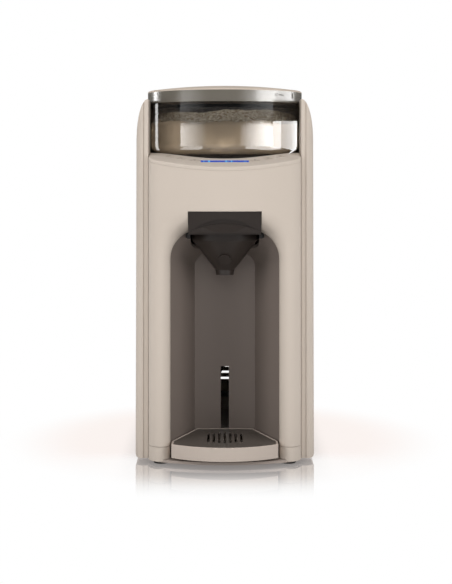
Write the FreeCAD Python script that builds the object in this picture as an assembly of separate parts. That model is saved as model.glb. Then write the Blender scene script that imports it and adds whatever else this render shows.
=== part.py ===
import FreeCAD, Part
import math
import os

# Counter-top baby formula maker: a powder container over a metering wheel and its gear drive, a
# funnel drawer under it, a water tank at the back, and a niche with a drip tray for the bottle.
# Millimetres. z is up from the table, -y is the front, x = 0 is the plane of symmetry.

# ---- Casing sizes ----
WIDTH = 170.0               # over the side panels
WALL = 2.5                  # moulded casing wall
SEAM = 0.4                  # joint line between two casing mouldings
FIT = 0.3                   # clearance round a piece that lifts, slides or turns
FOOT_H = 2.5                # rubber foot below the base plate
FOOT_R = 7.0
BASE_T = 2.5                # base plate
CASE_LIFT = 1.0             # the casing's lower edge above the base plate's underside
SHOE_H = 13.3               # base caps under the front columns
SIDE_W = 13.0               # side panel beside the front shell
NOSE_R = 150.0              # plan radius of its bowed face
NOSE_CORNER_R = 16.0
NOSE_DEPTH = 29.5           # front shell, bow to side panel
COLUMN_W = 20.8             # front column beside the opening for the bottle
ARCH_DROP = 73.0            # top of the opening below the crown's top
ARCH_CORNER_R = 27.0
LIP_SIDE_R = 9.0            # rounded lip of the opening, down the columns
LIP_TOP_R = 22.0            # and over its top
RETURN_DEPTH = 26.0         # the lip's return wall ends here
CROWN_R = 130.0             # side-view radius of the crowned control ledge
CROWN_DEPTH = 58.0          # the crown's highest line lies this far back
CROWN_TOP = 292.0
PANEL_T = 3.0               # control ledge moulding
PANEL_DEPTH = 64.0          # its horns end here beside the container
SIDE_LEAN = 0.8             # side panels lean in by this much up to the shoulder
SHOULDER_W = 11.6           # rounded shoulder of a side panel, front view
SHOULDER_H = 42.0
SIDE_RISE = 2.5             # side panels above the lid's lower edge
SIDE_FRONT_W = 8.0          # rounded front edge of a side panel, plan view
SIDE_FRONT_D = 13.0
GROOVE = 0.8                # shadow groove down the front edge
BACK_CORNER_R = 12.0

# ---- Niche, funnel drawer and tray ----
NICHE_TAPER = 21.5          # the niche's sides close in by this much at its back
NICHE_FALL = 26.0           # and its roof falls by this much
NICHE_BACK_R = 12.0
FUNNEL_AHEAD = 5.0          # funnel axis ahead of the powder outlet
DRAWER_HALF = 34.0
DRAWER_SINK = 1.7           # lower edge of the funnel cover below the arch's top
DRAWER_H = 19.7
DRAWER_WALL = 1.8
DRAWER_TRAVEL = 100.0
GUIDE_T = 2.5
GUIDE_LIP_H = 4.0
FLANGE_T = 1.5
FLANGE_W = 2.3              # sliding flange beside the funnel
FUNNEL_WALL = 1.8
FUNNEL_NECK = 7.0           # upright rim above the cone
FUNNEL_CONE_H = 28.5
SPOUT_R = 9.3
SPOUT_H = 5.0
TRAY_PROUD = 10.0           # tray ahead of the bow
TRAY_FRONT_R = 79.0
TRAY_GAP = 1.5              # to the niche walls
TRAY_H = 12.7
TRAY_WALL = 2.0
TRAY_COVER_T = 1.6
TRAY_SLOTS = 7
SLOT_W = 2.4
SLOT_PITCH = 5.2
HOOK_W = 7.4
HOOK_HEAD_W = 14.0
TRAY_LIFT = 3.0             # tray above the base plate, at its lowest
TRAY_TRAVEL = 60.0

# ---- Powder container, wheels and lid ----
JAR_INSET = 9.0             # container's side in from the side panels
JAR_DEPTH = 97.0            # container axis behind the bow
JAR_WALL = 2.2
JAR_FLOOR = 3.0
JAR_CORNER_R = 13.0
JAR_H = 53.3                # container below the lid
NECK_H = 6.0
NECK_STEP = 2.6
WELL_GAP = 1.0              # round the container in its well
OUTLET_AT = 42.0            # powder outlet ahead of the container axis
OUTLET_R = 9.0
RIB_X = -22.5               # fluted rib on the container's back wall
RIB_FLUTES = 4
RIB_R = 1.7
BAND_T = 1.3
BAND_H = 11.0
DOME_H = 7.0
CAP_T = 2.2
CAP_EDGE_H = 1.4
METER_GAP = 15.0            # metering wheel's edge in from the container's side
METER_T = 6.0
POCKETS = 8
POCKET_R = 7.4
HUB_R = 9.25
SOCKET_AF = 11.8            # hexagon socket under the metering wheel
DOG_PLAY = 0.8
STIR_ARMS = 3
STIR_GAP = 10.0             # paddles in from the container's side
STIR_ARM_T = 3.0
PADDLE_H = 9.0
SCRAPER_T = 2.4
SCRAPER_SPAN = math.radians(24)

# ---- Drive ----
GEAR_TEETH = 45
PINION_TEETH = 15
MODULE = 1.1
MESH_ANGLE = math.radians(45)   # direction of the pinion from the drive gear
ADDENDUM = 0.9
BACKLASH = 0.2
PRESSURE = math.radians(20)
GEAR_T = 8.0
SHAFT_R = 4.0
MOTOR_SHAFT_R = 3.0
RUNNING = 0.05
PLATE_DROP = 19.0           # gear plate below the container well
PLATE_T = 2.5
GEARBOX_R = 18.5
GEARBOX_H = 20.0
MOTOR_R = 14.0
MOTOR_H = 38.0

# ---- Fixings ----
SCREW_R = 1.5
SCREW_HEAD_R = 3.0
SCREW_HEAD_H = 1.4
SCREW_L = 9.0
SCREW_SLOT = 0.8

# ---- Water side ----
BAY_DEPTH = 229.5           # front of the tank bay
TANK_DEEP = 64.9
TANK_SIDE_GAP = 3.0         # tank to the covers beside it
TANK_WALL = 2.2
SHELF_Z = 104.0
TANK_TOP_DROP = 8.0         # tank rim below the side panels' tops
BOSS_R = 12.0
BOSS_H = 7.0
PORT_R = 5.0
STEM_R = 2.2
VALVE_R = 8.0
VALVE_T = 2.5
VALVE_TRAVEL = 3.0
CAGE_R = 11.0
CAGE_H = 14.0
SPRING_R = 5.0
SPRING_WIRE = 0.6
SPRING_TURNS = 3.5
TANK_LID_T = 3.2
HINGE_R = 3.0
HINGE_W = 9.0
HINGE_INSET = 24.0          # hinge barrels in from the tank's side
PIN_R = 1.5
HOSE_R = 3.0
NIPPLE_R = 2.4
NOZZLE_BACK = 19.0          # water nozzle behind the powder outlet
NOZZLE_BLOCK_H = 12.0
DOCK_H = 13.0
PUMP_R = 18.0
PUMP_L = 34.0
PUMP_GAP = 5.5              # pump drum to the chassis wall
HEATER_R = 16.0
HEATER_H = 92.0
HEATER_BACK = 53.0          # heater axis behind the container's

# ---- Electric side ----
INLET_W = 25.0
INLET_H = 18.0
INLET_INSET = 39.0          # inlet's middle in from the side
INLET_RISE = 26.0
SOCKET_R = 4.9
SOCKET_PITCH = 8.6
BOARD_L = 79.0
BOARD_H = 110.0
BOARD_RISE = 53.0           # main board above the base plate

# ---- Controls ----
KEYS_A_SIDE = 3
KEY_L = 9.0
KEY_W = 5.0
KEY_INSET = 4.5             # keys lie on an arc, this far from the well's wall
KEY_GAP = 4.6               # key to key along the arc
KEY_TO_LENS = 1.7
KEY_TILT = 20.0
KEY_PROUD = 0.35
KEY_TRAVEL = 0.8
KEY_DROP = 3.2              # a key reaches this far below the ledge moulding
LENS_HALF = 22.5
LENS_W = 5.0
LENS_DEPTH = 12.5

# ---- Places that follow from the sizes ----
V = FreeCAD.Vector
DEPTH = TRAY_PROUD + BAY_DEPTH + FIT * 2 + TANK_DEEP
FRONT = TRAY_PROUD - DEPTH / 2
BACK = DEPTH / 2
SIDE_X = WIDTH / 2
NOSE_HALF = SIDE_X - SIDE_W
ARCH_HALF = NOSE_HALF - COLUMN_W
ARCH_TOP = CROWN_TOP - ARCH_DROP
JAR_R = SIDE_X - JAR_INSET
COVER_HALF = SIDE_X - SIDE_FRONT_W - SEAM
TANK_HALF = SIDE_X - SIDE_FRONT_W - TANK_SIDE_GAP
BASE_TOP = FOOT_H + BASE_T
CASE_Z = FOOT_H + CASE_LIFT
SHOE_TOP = CASE_Z + SHOE_H
SHELL_Z = SHOE_TOP + SEAM
JAR_Y = FRONT + JAR_DEPTH
OUTLET_Y = JAR_Y - OUTLET_AT
FUNNEL_Y = OUTLET_Y - FUNNEL_AHEAD
FUNNEL_R = DRAWER_HALF - FLANGE_W
NOZZLE_Y = OUTLET_Y + NOZZLE_BACK
NICHE_BACK = FUNNEL_Y - FRONT + DRAWER_HALF + GUIDE_T + FIT + 0.2
NICHE_BACK_HALF = ARCH_HALF - NICHE_TAPER
NICHE_BACK_TOP = ARCH_TOP - NICHE_FALL
DRAWER_Z = ARCH_TOP - DRAWER_SINK
WELL_R = JAR_R + WELL_GAP
METER_R = JAR_R - METER_GAP
STIR_R = JAR_R - STIR_GAP
BAY_Y = FRONT + BAY_DEPTH
BAY_WALL_Y = BAY_Y - WALL
HORN_Y = JAR_Y + 24
INNER_X = NOSE_HALF - WALL
PLATE_FRONT = FRONT + NOSE_DEPTH + SEAM


def crown_z(y, drop=0.0):
    """Height of the crowned ledge at y, for the surface that lies drop below it."""
    behind = min(0.0, y - FRONT - CROWN_DEPTH)
    return CROWN_TOP - CROWN_R + math.sqrt((CROWN_R - drop) ** 2 - behind ** 2)


WELL_Z = crown_z(JAR_Y - WELL_R)
JAR_Z = WELL_Z + FIT
JAR_TOP = JAR_Z + JAR_H
NECK_R = JAR_R - NECK_STEP
BAND_R = JAR_R + FIT
NECK_TOP = JAR_TOP + NECK_H
BAND_Z = JAR_TOP + FIT
CAP_Z = BAND_Z + BAND_H
HEIGHT = CAP_Z + DOME_H
SIDE_TOP = BAND_Z + SIDE_RISE
PLATE_TOP = WELL_Z - PLATE_DROP
PLATE_Z = PLATE_TOP - PLATE_T
PITCH_R = MODULE * GEAR_TEETH / 2
PINION_PITCH_R = MODULE * PINION_TEETH / 2
MOTOR_X = (PITCH_R + PINION_PITCH_R) * math.cos(MESH_ANGLE)
MOTOR_Y = JAR_Y + (PITCH_R + PINION_PITCH_R) * math.sin(MESH_ANGLE)
GEAR_Z = PLATE_TOP + 2.2
DRAWER_TOP = DRAWER_Z + DRAWER_H
CONE_TOP = DRAWER_Z - FLANGE_T - FUNNEL_NECK
CONE_FOOT = CONE_TOP - FUNNEL_CONE_H
SPOUT_TIP = CONE_FOOT - SPOUT_H
LIP_TOP = DRAWER_Z - FLANGE_T - FIT
RAIL_X = FUNNEL_R + FIT + 0.2
TRAY_Z = BASE_TOP + FIT + TRAY_LIFT
TRAY_TOP = TRAY_Z + TRAY_H
TANK_FRONT = BAY_Y + FIT * 2
TANK_Y = (TANK_FRONT + BACK) / 2
TANK_Z = SHELF_Z + FIT
TANK_FLOOR = TANK_Z + 3.0
TANK_TOP = SIDE_TOP - TANK_TOP_DROP
METER_Z = JAR_Z + JAR_FLOOR + FIT
METER_TOP = METER_Z + METER_T
SCRAPER_Z = METER_TOP + FIT
ARM_Z = SCRAPER_Z + SCRAPER_T + 1.2
HINGE_X = TANK_HALF - HINGE_INSET
HINGE_Y = BACK - HINGE_R - 0.05
HINGE_Z = TANK_TOP + FIT + HINGE_R + 0.2
VALVE_Z = TANK_FLOOR + FIT
CAGE_TOP = TANK_FLOOR + CAGE_H
STEM_FOOT = TANK_Z - BOSS_H - 1.5
DOCK_FOOT = SHELF_Z - WALL - DOCK_H
DOCK_PORT_Y = TANK_Y - 8
PUMP_X = INNER_X - PUMP_GAP - PUMP_L
PUMP_Z = BASE_TOP + PUMP_R + 3.0
HEATER_X = HEATER_R + 4 - INNER_X
HEATER_Y = JAR_Y + HEATER_BACK
HEATER_Z = DRAWER_Z - HEATER_H - 2.3
NOZZLE_Z = DRAWER_TOP + 2
NOZZLE_PORT_Z = NOZZLE_Z + NOZZLE_BLOCK_H / 2
INLET_X = INLET_INSET - SIDE_X
INLET_Z = CASE_Z + INLET_RISE
KEY_RADIUS = WELL_R + WALL + KEY_INSET + KEY_W / 2
KEY_ARCS = [LENS_HALF + KEY_TO_LENS + KEY_L / 2 + (KEY_L + KEY_GAP) * k for k in range(KEYS_A_SIDE)]
KEY_ANGLES = [math.degrees(side * arc / KEY_RADIUS)
              for side, arcs in ((-1, KEY_ARCS[::-1]), (1, KEY_ARCS)) for arc in arcs]


# ---- Solids ----
def block(x0, x1, y0, y1, z0, z1):
    """Box between two values along each axis."""
    return Part.makeBox(x1 - x0, y1 - y0, z1 - z0, V(x0, y0, z0))


def rod(x, y, z0, z1, r):
    """Upright cylinder."""
    return Part.makeCylinder(r, z1 - z0, V(x, y, z0))


def tube(x, y, z0, z1, r_out, r_in):
    """Upright tube, open at both ends."""
    return rod(x, y, z0, z1, r_out).cut(rod(x, y, z0 - 1, z1 + 1, r_in))


def outline(start, steps, place):
    """Closed wire. A step of two numbers is a line to that point, one of four is an arc through
    the first pair to the second, and a longer one is a smooth curve through all its pairs. place
    puts a pair of numbers into space."""
    edges = []
    here = place(*start)
    for step in list(steps) + [start]:
        end = place(*step[-2:])
        if (end - here).Length < 1e-6:
            continue
        if len(step) > 4:
            curve = Part.BSplineCurve()
            curve.interpolate([here] + [place(*pair) for pair in zip(step[::2], step[1::2])])
            edges.append(curve.toShape())
        elif len(step) == 4:
            edges.append(Part.Arc(here, place(*step[:2]), end).toShape())
        else:
            edges.append(Part.LineSegment(here, end).toShape())
        here = end
    return Part.Wire(edges)


def oval(x, y, rx, ry, start, end):
    """Outline step along an ellipse about x, y from one angle to another, in degrees."""
    step = []
    for number in range(1, 9):
        angle = math.radians(start + (end - start) * number / 8)
        step += [x + rx * math.cos(angle), y + ry * math.sin(angle)]
    return tuple(step)


def plan(start, steps, z0, z1):
    """Upright prism on a plan outline."""
    wire = outline(start, steps, lambda x, y: V(x, y, z0))
    return Part.Face(wire).extrude(V(0, 0, z1 - z0))


def front_view(start, steps, y0, y1):
    """Prism along y on an outline in x and z."""
    wire = outline(start, steps, lambda x, z: V(x, y0, z))
    return Part.Face(wire).extrude(V(0, y1 - y0, 0))


def side_view(start, steps, x0, x1):
    """Prism along x on an outline in y and z."""
    wire = outline(start, steps, lambda y, z: V(x0, y, z))
    return Part.Face(wire).extrude(V(x1 - x0, 0, 0))


def turned(start, steps, x, y):
    """Solid of revolution about an upright axis, on an outline in radius and z."""
    wire = outline(start, steps, lambda r, z: V(x + r, y, z))
    return Part.Face(wire).revolve(V(x, y, 0), V(0, 0, 1), 360)


def joined(shapes):
    """One solid from pieces that overlap or share faces."""
    return shapes[0].fuse(shapes[1:]).removeSplitter()


def mirrored(shape):
    """The same piece on the other side of the plane of symmetry."""
    return shape.mirror(V(0, 0, 0), V(1, 0, 0))


def spun(shape, x, y, angle):
    """The shape turned about an upright axis, in degrees."""
    copy = shape.copy()
    copy.rotate(V(x, y, 0), V(0, 0, 1), angle)
    return copy


def upright(edge):
    """True for a straight vertical edge."""
    box = edge.BoundBox
    return box.ZLength > 0.5 and box.XLength < 1e-3 and box.YLength < 1e-3


def level_at(z):
    """Test for an edge that lies in the level plane at z."""
    return lambda edge: abs(edge.BoundBox.ZMin - z) < 1e-3 and edge.BoundBox.ZLength < 1e-3


def softened(shape, radius, test):
    """The shape with the edges that pass the test rounded."""
    return shape.makeFillet(radius, [edge for edge in shape.Edges if test(edge)])


# ---- Casing ----
def nose_block(inset, back_y, z0, z1):
    """Prism inside the front shell's plan: a bowed face, round corners and straight sides."""
    half = NOSE_HALF - inset
    face_r = NOSE_R - inset
    corner_r = NOSE_CORNER_R - inset
    bow_y = FRONT + NOSE_R
    corner_x = half - corner_r
    corner_y = bow_y - math.sqrt((face_r - corner_r) ** 2 - corner_x ** 2)
    reach = face_r / (face_r - corner_r)
    join_x = corner_x * reach
    join_y = bow_y + (corner_y - bow_y) * reach
    mid = (math.atan2(join_y - corner_y, join_x - corner_x)) / 2
    mid_x = corner_x + corner_r * math.cos(mid)
    mid_y = corner_y + corner_r * math.sin(mid)
    steps = [
        (half, corner_y),
        (mid_x, mid_y, join_x, join_y),
        (0, bow_y - face_r, -join_x, join_y),
        (-mid_x, mid_y, -half, corner_y),
        (-half, back_y),
    ]
    return plan((half, back_y), steps, z0, z1)


def arch_block(grow, y0, y1):
    """Prism through the bottle opening, larger all round by grow."""
    half = ARCH_HALF + grow
    top = ARCH_TOP + grow
    r = ARCH_CORNER_R + grow
    bend = r * (1 - math.sqrt(0.5))
    foot = CASE_Z - 5
    steps = [
        (half, foot),
        (half, top - r),
        (half - bend, top - bend, half - r, top),
        (r - half, top),
        (bend - half, top - bend, -half, top - r),
    ]
    return front_view((-half, foot), steps, y0, y1)


def with_lip(body, grow, side_r, top_r):
    """Round the edge between the bowed face and the opening, wider over the top."""
    half = ARCH_HALF + grow
    top = ARCH_TOP + grow
    corner_z = top - ARCH_CORNER_R - grow
    entries = []
    for number, edge in enumerate(body.Edges, 1):
        box = edge.BoundBox
        if box.YMin > FRONT + RETURN_DEPTH or box.XMax > half + 0.1 or box.XMin < -half - 0.1:
            continue
        if box.ZMax > top + 0.1 or box.ZMin < CASE_Z - 0.1 or box.ZLength + box.XLength < 1:
            continue
        if box.ZMax < corner_z + 0.1 and box.XLength < 0.1:
            entries.append((number, side_r, side_r))
        elif box.ZMin > top - 0.1:
            entries.append((number, top_r, top_r))
        elif box.ZMin > corner_z - 0.1:
            rising = edge.valueAt(edge.FirstParameter).z < edge.valueAt(edge.LastParameter).z
            entries.append((number, side_r, top_r) if rising else (number, top_r, side_r))
    page = FreeCAD.newDocument("lip")
    base = page.addObject("Part::Feature", "base")
    base.Shape = body
    lip = page.addObject("Part::Fillet", "lip")
    lip.Base = base
    lip.Edges = entries
    page.recompute()
    result = lip.Shape.copy()
    FreeCAD.closeDocument("lip")
    return result


def crown_block(drop):
    """Everything below the crowned ledge's surface, for the surface that lies drop below it."""
    nose_y = FRONT - TRAY_PROUD
    crest_y = FRONT + CROWN_DEPTH
    crest = CROWN_TOP - drop
    mid_y = (nose_y + crest_y) / 2
    steps = [
        (nose_y, crown_z(nose_y, drop)),
        (mid_y, crown_z(mid_y, drop), crest_y, crest),
        (BAY_Y, crest),
        (BAY_Y, 0),
    ]
    return side_view((nose_y, 0), steps, -SIDE_X, SIDE_X)


def nose_casing():
    """Front shell and base caps before they are parted: a wall with an arched opening."""
    back_y = FRONT + NOSE_DEPTH
    high = CROWN_TOP + 1
    outer = nose_block(0, back_y, CASE_Z, high).cut(arch_block(0, FRONT - 20, back_y + 1))
    outer = with_lip(outer, 0, LIP_SIDE_R, LIP_TOP_R)
    inner = nose_block(WALL, back_y + 2, CASE_Z - 1, high + 1)
    inner = inner.cut(arch_block(WALL, FRONT - 20, back_y + 3))
    inner = with_lip(inner, WALL, LIP_SIDE_R - WALL, LIP_TOP_R - WALL)
    casing = outer.cut(inner)
    casing = casing.cut(arch_block(WALL + 0.01, FRONT + RETURN_DEPTH, back_y + 1))
    return casing.common(crown_block(PANEL_T + SEAM / 2))


def front_shell(casing):
    """Upper part of the nose, with the window for the funnel drawer."""
    above = block(-SIDE_X, SIDE_X, FRONT - 20, BACK, SHELL_Z, HEIGHT)
    half = DRAWER_HALF + FIT
    window = block(-half, half, FRONT - 20, PLATE_FRONT, LIP_TOP, DRAWER_TOP + FIT)
    return casing.common(above).cut(window)


def base_cap(casing):
    """Foot cap under the right column, in the same outline."""
    below = block(0, SIDE_X, FRONT - 20, BACK, 0, SHOE_TOP)
    plate_space = nose_block(WALL + FIT / 2, BACK, 0, BASE_TOP + FIT)
    return casing.common(below).cut(plate_space)


def side_panel():
    """Right side panel: a tray moulding with a rounded front edge, shoulder and back edge."""
    inner_x = NOSE_HALF + SEAM
    front_y = FRONT + NOSE_DEPTH
    back_y = BACK - BACK_CORNER_R
    edge_x = SIDE_X - SIDE_FRONT_W
    foot_r = WALL + 0.5
    shoulder_x = SIDE_X - SHOULDER_W
    shoulder_z = SIDE_TOP - SHOULDER_H
    lean = math.degrees(math.atan2(SIDE_LEAN, shoulder_z - CASE_Z))
    edge_y = front_y + SIDE_FRONT_D
    rear_y = back_y - SIDE_FRONT_W

    def skin(inset):
        """Solid inside the panel, in from its surface."""
        r = foot_r - inset
        seen = [
            (SIDE_X - foot_r, CASE_Z + inset),
            oval(SIDE_X - foot_r, CASE_Z + foot_r, r, r, -90, 0),
            (SIDE_X - inset, shoulder_z),
            oval(shoulder_x, shoulder_z, SHOULDER_W - inset, SHOULDER_H - inset, 0, 90),
            (inner_x - 5, SIDE_TOP - inset),
        ]
        profile = front_view((inner_x - 5, CASE_Z + inset), seen, front_y - 1, back_y + 1)
        r = SIDE_FRONT_W - inset + 0.03
        walk = [
            (edge_x, front_y + inset),
            oval(edge_x, edge_y, r, SIDE_FRONT_D - inset, -90, 0),
            (edge_x + r, rear_y),
            oval(edge_x, rear_y, r, SIDE_FRONT_W - inset, 0, 90),
            (inner_x - 5, back_y - inset),
        ]
        body = profile.common(plan((inner_x - 5, front_y + inset), walk, 0, HEIGHT))
        body.rotate(V(SIDE_X, 0, CASE_Z), V(0, 1, 0), -lean)
        return body

    keep = block(inner_x, SIDE_X + 1, front_y - 1, BACK, 0, HEIGHT)
    hollow = skin(WALL).common(block(0, SIDE_X, FRONT, BACK, 0, WELL_Z - WALL))
    panel = skin(0).cut(hollow).common(keep)
    panel = panel.cut(rod(0, JAR_Y, WELL_Z - SEAM, HEIGHT, WELL_R + SEAM))
    panel = panel.cut(block(0, edge_x, BAY_WALL_Y - SEAM, BACK, 0, HEIGHT))
    panel = panel.cut(block(0, edge_x, HORN_Y - SEAM, BACK, WELL_Z - SEAM, HEIGHT))
    groove = block(edge_x - GROOVE, edge_x, front_y - 1, front_y + GROOVE, 0, HEIGHT)
    return panel.cut(groove)


def control_panel():
    """Crowned crescent ledge and, in one moulding with it, the round well for the container."""
    end_y = FRONT + PANEL_DEPTH
    ledge = nose_block(0, end_y, WELL_Z - 20, CROWN_TOP + 1).common(crown_block(0))
    under = crown_block(PANEL_T)
    well_wall = rod(0, JAR_Y, WELL_Z - WALL, CROWN_TOP + 1, WELL_R + WALL)
    inside = nose_block(0, end_y, WELL_Z - 20, CROWN_TOP + 1)
    collar = well_wall.common(inside).common(crown_block(0))
    side_clear = block(-NOSE_HALF, NOSE_HALF, FRONT, BAY_WALL_Y, WELL_Z - WALL, WELL_Z)
    floor = rod(0, JAR_Y, WELL_Z - WALL, WELL_Z, WELL_R).common(side_clear)
    panel = joined([ledge.cut(under), collar, floor])
    panel = panel.cut(rod(0, JAR_Y, WELL_Z, HEIGHT, WELL_R))
    panel = softened(panel, 1.6, lambda e: e.BoundBox.YMax < end_y - 10
                     and abs(e.CenterOfMass.z - crown_z(e.CenterOfMass.y)) < 1.2
                     and e.CenterOfMass.y < FRONT + NOSE_CORNER_R + 14
                     and e.BoundBox.ZMin > crown_z(FRONT) - 0.1)
    panel = panel.cut(rod(0, JAR_Y, WELL_Z - 10, WELL_Z + 1, HUB_R + 1.5))
    panel = panel.cut(rod(0, OUTLET_Y, WELL_Z - 10, WELL_Z + 1, OUTLET_R + 4))
    for angle in KEY_ANGLES:
        panel = panel.cut(key_block(angle, FIT, -8, 8))
    return panel.cut(lens_block(0.05, -8, 8))


def ledge_frame(x, y, drop=0.0):
    """Placement on the ledge at x, y: its z runs along the keys' tilted push direction."""
    tilt = FreeCAD.Rotation(V(1, 0, 0), KEY_TILT)
    return FreeCAD.Placement(V(x, y, crown_z(y) - drop), tilt)


def key_block(angle, grow, low, high):
    """Round-ended key prism, tilted with the ledge and turned along the container's edge."""
    x = KEY_RADIUS * math.sin(math.radians(angle))
    y = JAR_Y - KEY_RADIUS * math.cos(math.radians(angle))
    half = (KEY_L - KEY_W) / 2
    r = KEY_W / 2 + grow
    steps = [(half, -r), (half + r, 0, half, r), (-half, r), (-half - r, 0, -half, -r)]
    shape = plan((-half, -r), steps, low, high)
    shape.rotate(V(0, 0, 0), V(0, 0, 1), angle)
    shape.Placement = ledge_frame(x, y).multiply(shape.Placement)
    return shape


def key(angle):
    """Key cap that follows the crown, with a collar below the ledge that keeps it in."""
    cap = key_block(angle, 0, -PANEL_T - 1.5, 4).common(crown_block(-KEY_PROUD))
    collar = key_block(angle, FIT + 0.9, -PANEL_T - KEY_DROP, -PANEL_T - 1.0)
    return joined([cap, collar])


def lens_block(grow, low, high):
    """Narrow display window prism, tilted with the ledge."""
    y = FRONT + LENS_DEPTH
    bar = block(-LENS_HALF - grow, LENS_HALF + grow, -LENS_W / 2 - grow, LENS_W / 2 + grow, low, high)
    bar.Placement = ledge_frame(0, y)
    return bar


def display_lens():
    """Clear window, flush with the ledge."""
    return lens_block(0, -PANEL_T + 0.6, 4).common(crown_block(0.1))


def top_cover():
    """Rear top of the casing: a deck with a round bay that wraps the back of the container."""
    half = COVER_HALF
    low = WELL_Z
    outer = block(-half, half, HORN_Y, BAY_WALL_Y - SEAM, low, SIDE_TOP)
    outer = outer.cut(rod(0, JAR_Y, low - 1, SIDE_TOP + 1, WELL_R))
    outer = softened(outer, 1.0, level_at(SIDE_TOP))
    inner = block(WALL - half, half - WALL, HORN_Y + WALL, BAY_WALL_Y - SEAM - WALL, low - 1,
                  SIDE_TOP - WALL)
    return outer.cut(inner.cut(rod(0, JAR_Y, low - 2, SIDE_TOP, WELL_R + WALL)))


def back_cover():
    """Rear casing: back wall with louvres below, tank shelf, and the wall in front of the tank."""
    half = COVER_HALF
    outer = block(-half, half, BAY_WALL_Y, BACK, CASE_Z, SHELF_Z)
    outer = softened(outer, BACK_CORNER_R, lambda e: upright(e) and e.BoundBox.YMin > BACK - 1)
    outer = softened(outer, 1.5, lambda e: level_at(SHELF_Z)(e) and e.BoundBox.YMax > BAY_Y + 20)
    inner = block(WALL - half, half - WALL, BAY_WALL_Y - 1, BACK - WALL, CASE_Z - 1, SHELF_Z - WALL)
    inner = softened(inner, BACK_CORNER_R - WALL, lambda e: upright(e) and e.BoundBox.YMin > BACK - 5)
    wall = block(-half, half, BAY_WALL_Y, BAY_Y, SHELF_Z - WALL, SIDE_TOP - WALL)
    cover = joined([outer.cut(inner), wall])
    cover = cover.cut(rod(0, TANK_Y, SHELF_Z - 10, SHELF_Z + 1, BOSS_R + 1.2))
    louvre_w = (half - 24.6) / 2
    for row in range(6):
        z = CASE_Z + 34 + row * 7
        for x in (-8.0, louvre_w):
            cover = cover.cut(block(x, x + louvre_w, BACK - 5, BACK + 1, z, z + 2.6))
    return cover.cut(inlet_window(FIT))


def inlet_window(grow):
    """Window in the back wall for the power inlet."""
    half_w = INLET_W / 2 + grow
    half_h = INLET_H / 2 + grow
    return block(INLET_X - half_w, INLET_X + half_w, BACK - 6, BACK + 1,
                 INLET_Z - half_h, INLET_Z + half_h)


def power_inlet():
    """Two-pin mains inlet: a flanged socket with a figure-of-eight well and two pins."""
    body = block(INLET_X - INLET_W / 2, INLET_X + INLET_W / 2, BACK - 22, BACK - 0.2,
                 INLET_Z - INLET_H / 2, INLET_Z + INLET_H / 2)
    body = softened(body, 2.0, lambda e: e.BoundBox.YLength > 5)
    flange = block(INLET_X - INLET_W / 2 - 2.5, INLET_X + INLET_W / 2 + 2.5, BACK - WALL - 2.2,
                   BACK - WALL - 0.2, INLET_Z - INLET_H / 2 - 2.5, INLET_Z + INLET_H / 2 + 2.5)
    centres = [INLET_X + side * SOCKET_PITCH / 2 for side in (-1, 1)]
    inward = V(0, -1, 0)
    well = joined([Part.makeCylinder(SOCKET_R, 15, V(x, BACK + 1, INLET_Z), inward) for x in centres])
    pins = [Part.makeCylinder(1.2, 12, V(x, BACK - 3, INLET_Z), inward) for x in centres]
    return joined([joined([body, flange]).cut(well)] + pins)


def base_plate():
    """Flat floor of the machine, inside the casing's lower edge, with holes for its screws."""
    half = NOSE_HALF
    back_y = BACK - WALL - FIT
    nose = nose_block(WALL + FIT, FRONT + NOSE_DEPTH, FOOT_H, BASE_TOP)
    tail = block(-half, half, FRONT + NOSE_DEPTH, back_y, FOOT_H, BASE_TOP)
    tail = softened(tail, BACK_CORNER_R - WALL, lambda e: upright(e) and e.BoundBox.YMin > back_y - 1)
    plate = joined([nose, tail])
    for x, y in screw_places():
        plate = plate.cut(rod(x, y, 0, BASE_TOP + 1, SCREW_R + 0.25))
    for row in range(5):
        y = HEATER_Y + row * 9
        plate = plate.cut(block(-24, 24, y, y + 3, 0, BASE_TOP + 1))
    return plate


def screw_places():
    """Six base screws, in the bosses at the foot of the chassis."""
    first = FRONT + NICHE_BACK + 17
    last = BAY_WALL_Y - 12
    rows = (first, (first + last) / 2, last)
    return [(s * (INNER_X - 7), y) for s in (-1, 1) for y in rows]


def case_screws():
    """Base screws: pan heads below the plate, shanks up into the chassis bosses."""
    screws = []
    for x, y in screw_places():
        head = rod(x, y, FOOT_H - SCREW_HEAD_H, FOOT_H, SCREW_HEAD_R)
        head = softened(head, 0.6, level_at(FOOT_H - SCREW_HEAD_H))
        slot = block(x - 2, x + 2, y - SCREW_SLOT / 2, y + SCREW_SLOT / 2,
                     FOOT_H - SCREW_HEAD_H - 1, FOOT_H - SCREW_HEAD_H / 2)
        shank = rod(x, y, FOOT_H, FOOT_H + SCREW_L, SCREW_R)
        screws.append(joined([head, shank]).cut(slot).cut(spun(slot, x, y, 90)))
    return Part.makeCompound(screws)


def foot_places():
    """Rubber feet: under both columns and both back corners."""
    front_y = FRONT + 27
    back_y = BACK - 22
    return [(s * (NOSE_HALF - 12), y) for s in (-1, 1) for y in (front_y, back_y)]


def rubber_feet():
    """Four pads with a rounded tread edge, stuck under the base plate."""
    pads = []
    for x, y in foot_places():
        pad = rod(x, y, 0, FOOT_H, FOOT_R)
        pads.append(softened(pad, 0.8, level_at(0)))
    return Part.makeCompound(pads)


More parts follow.
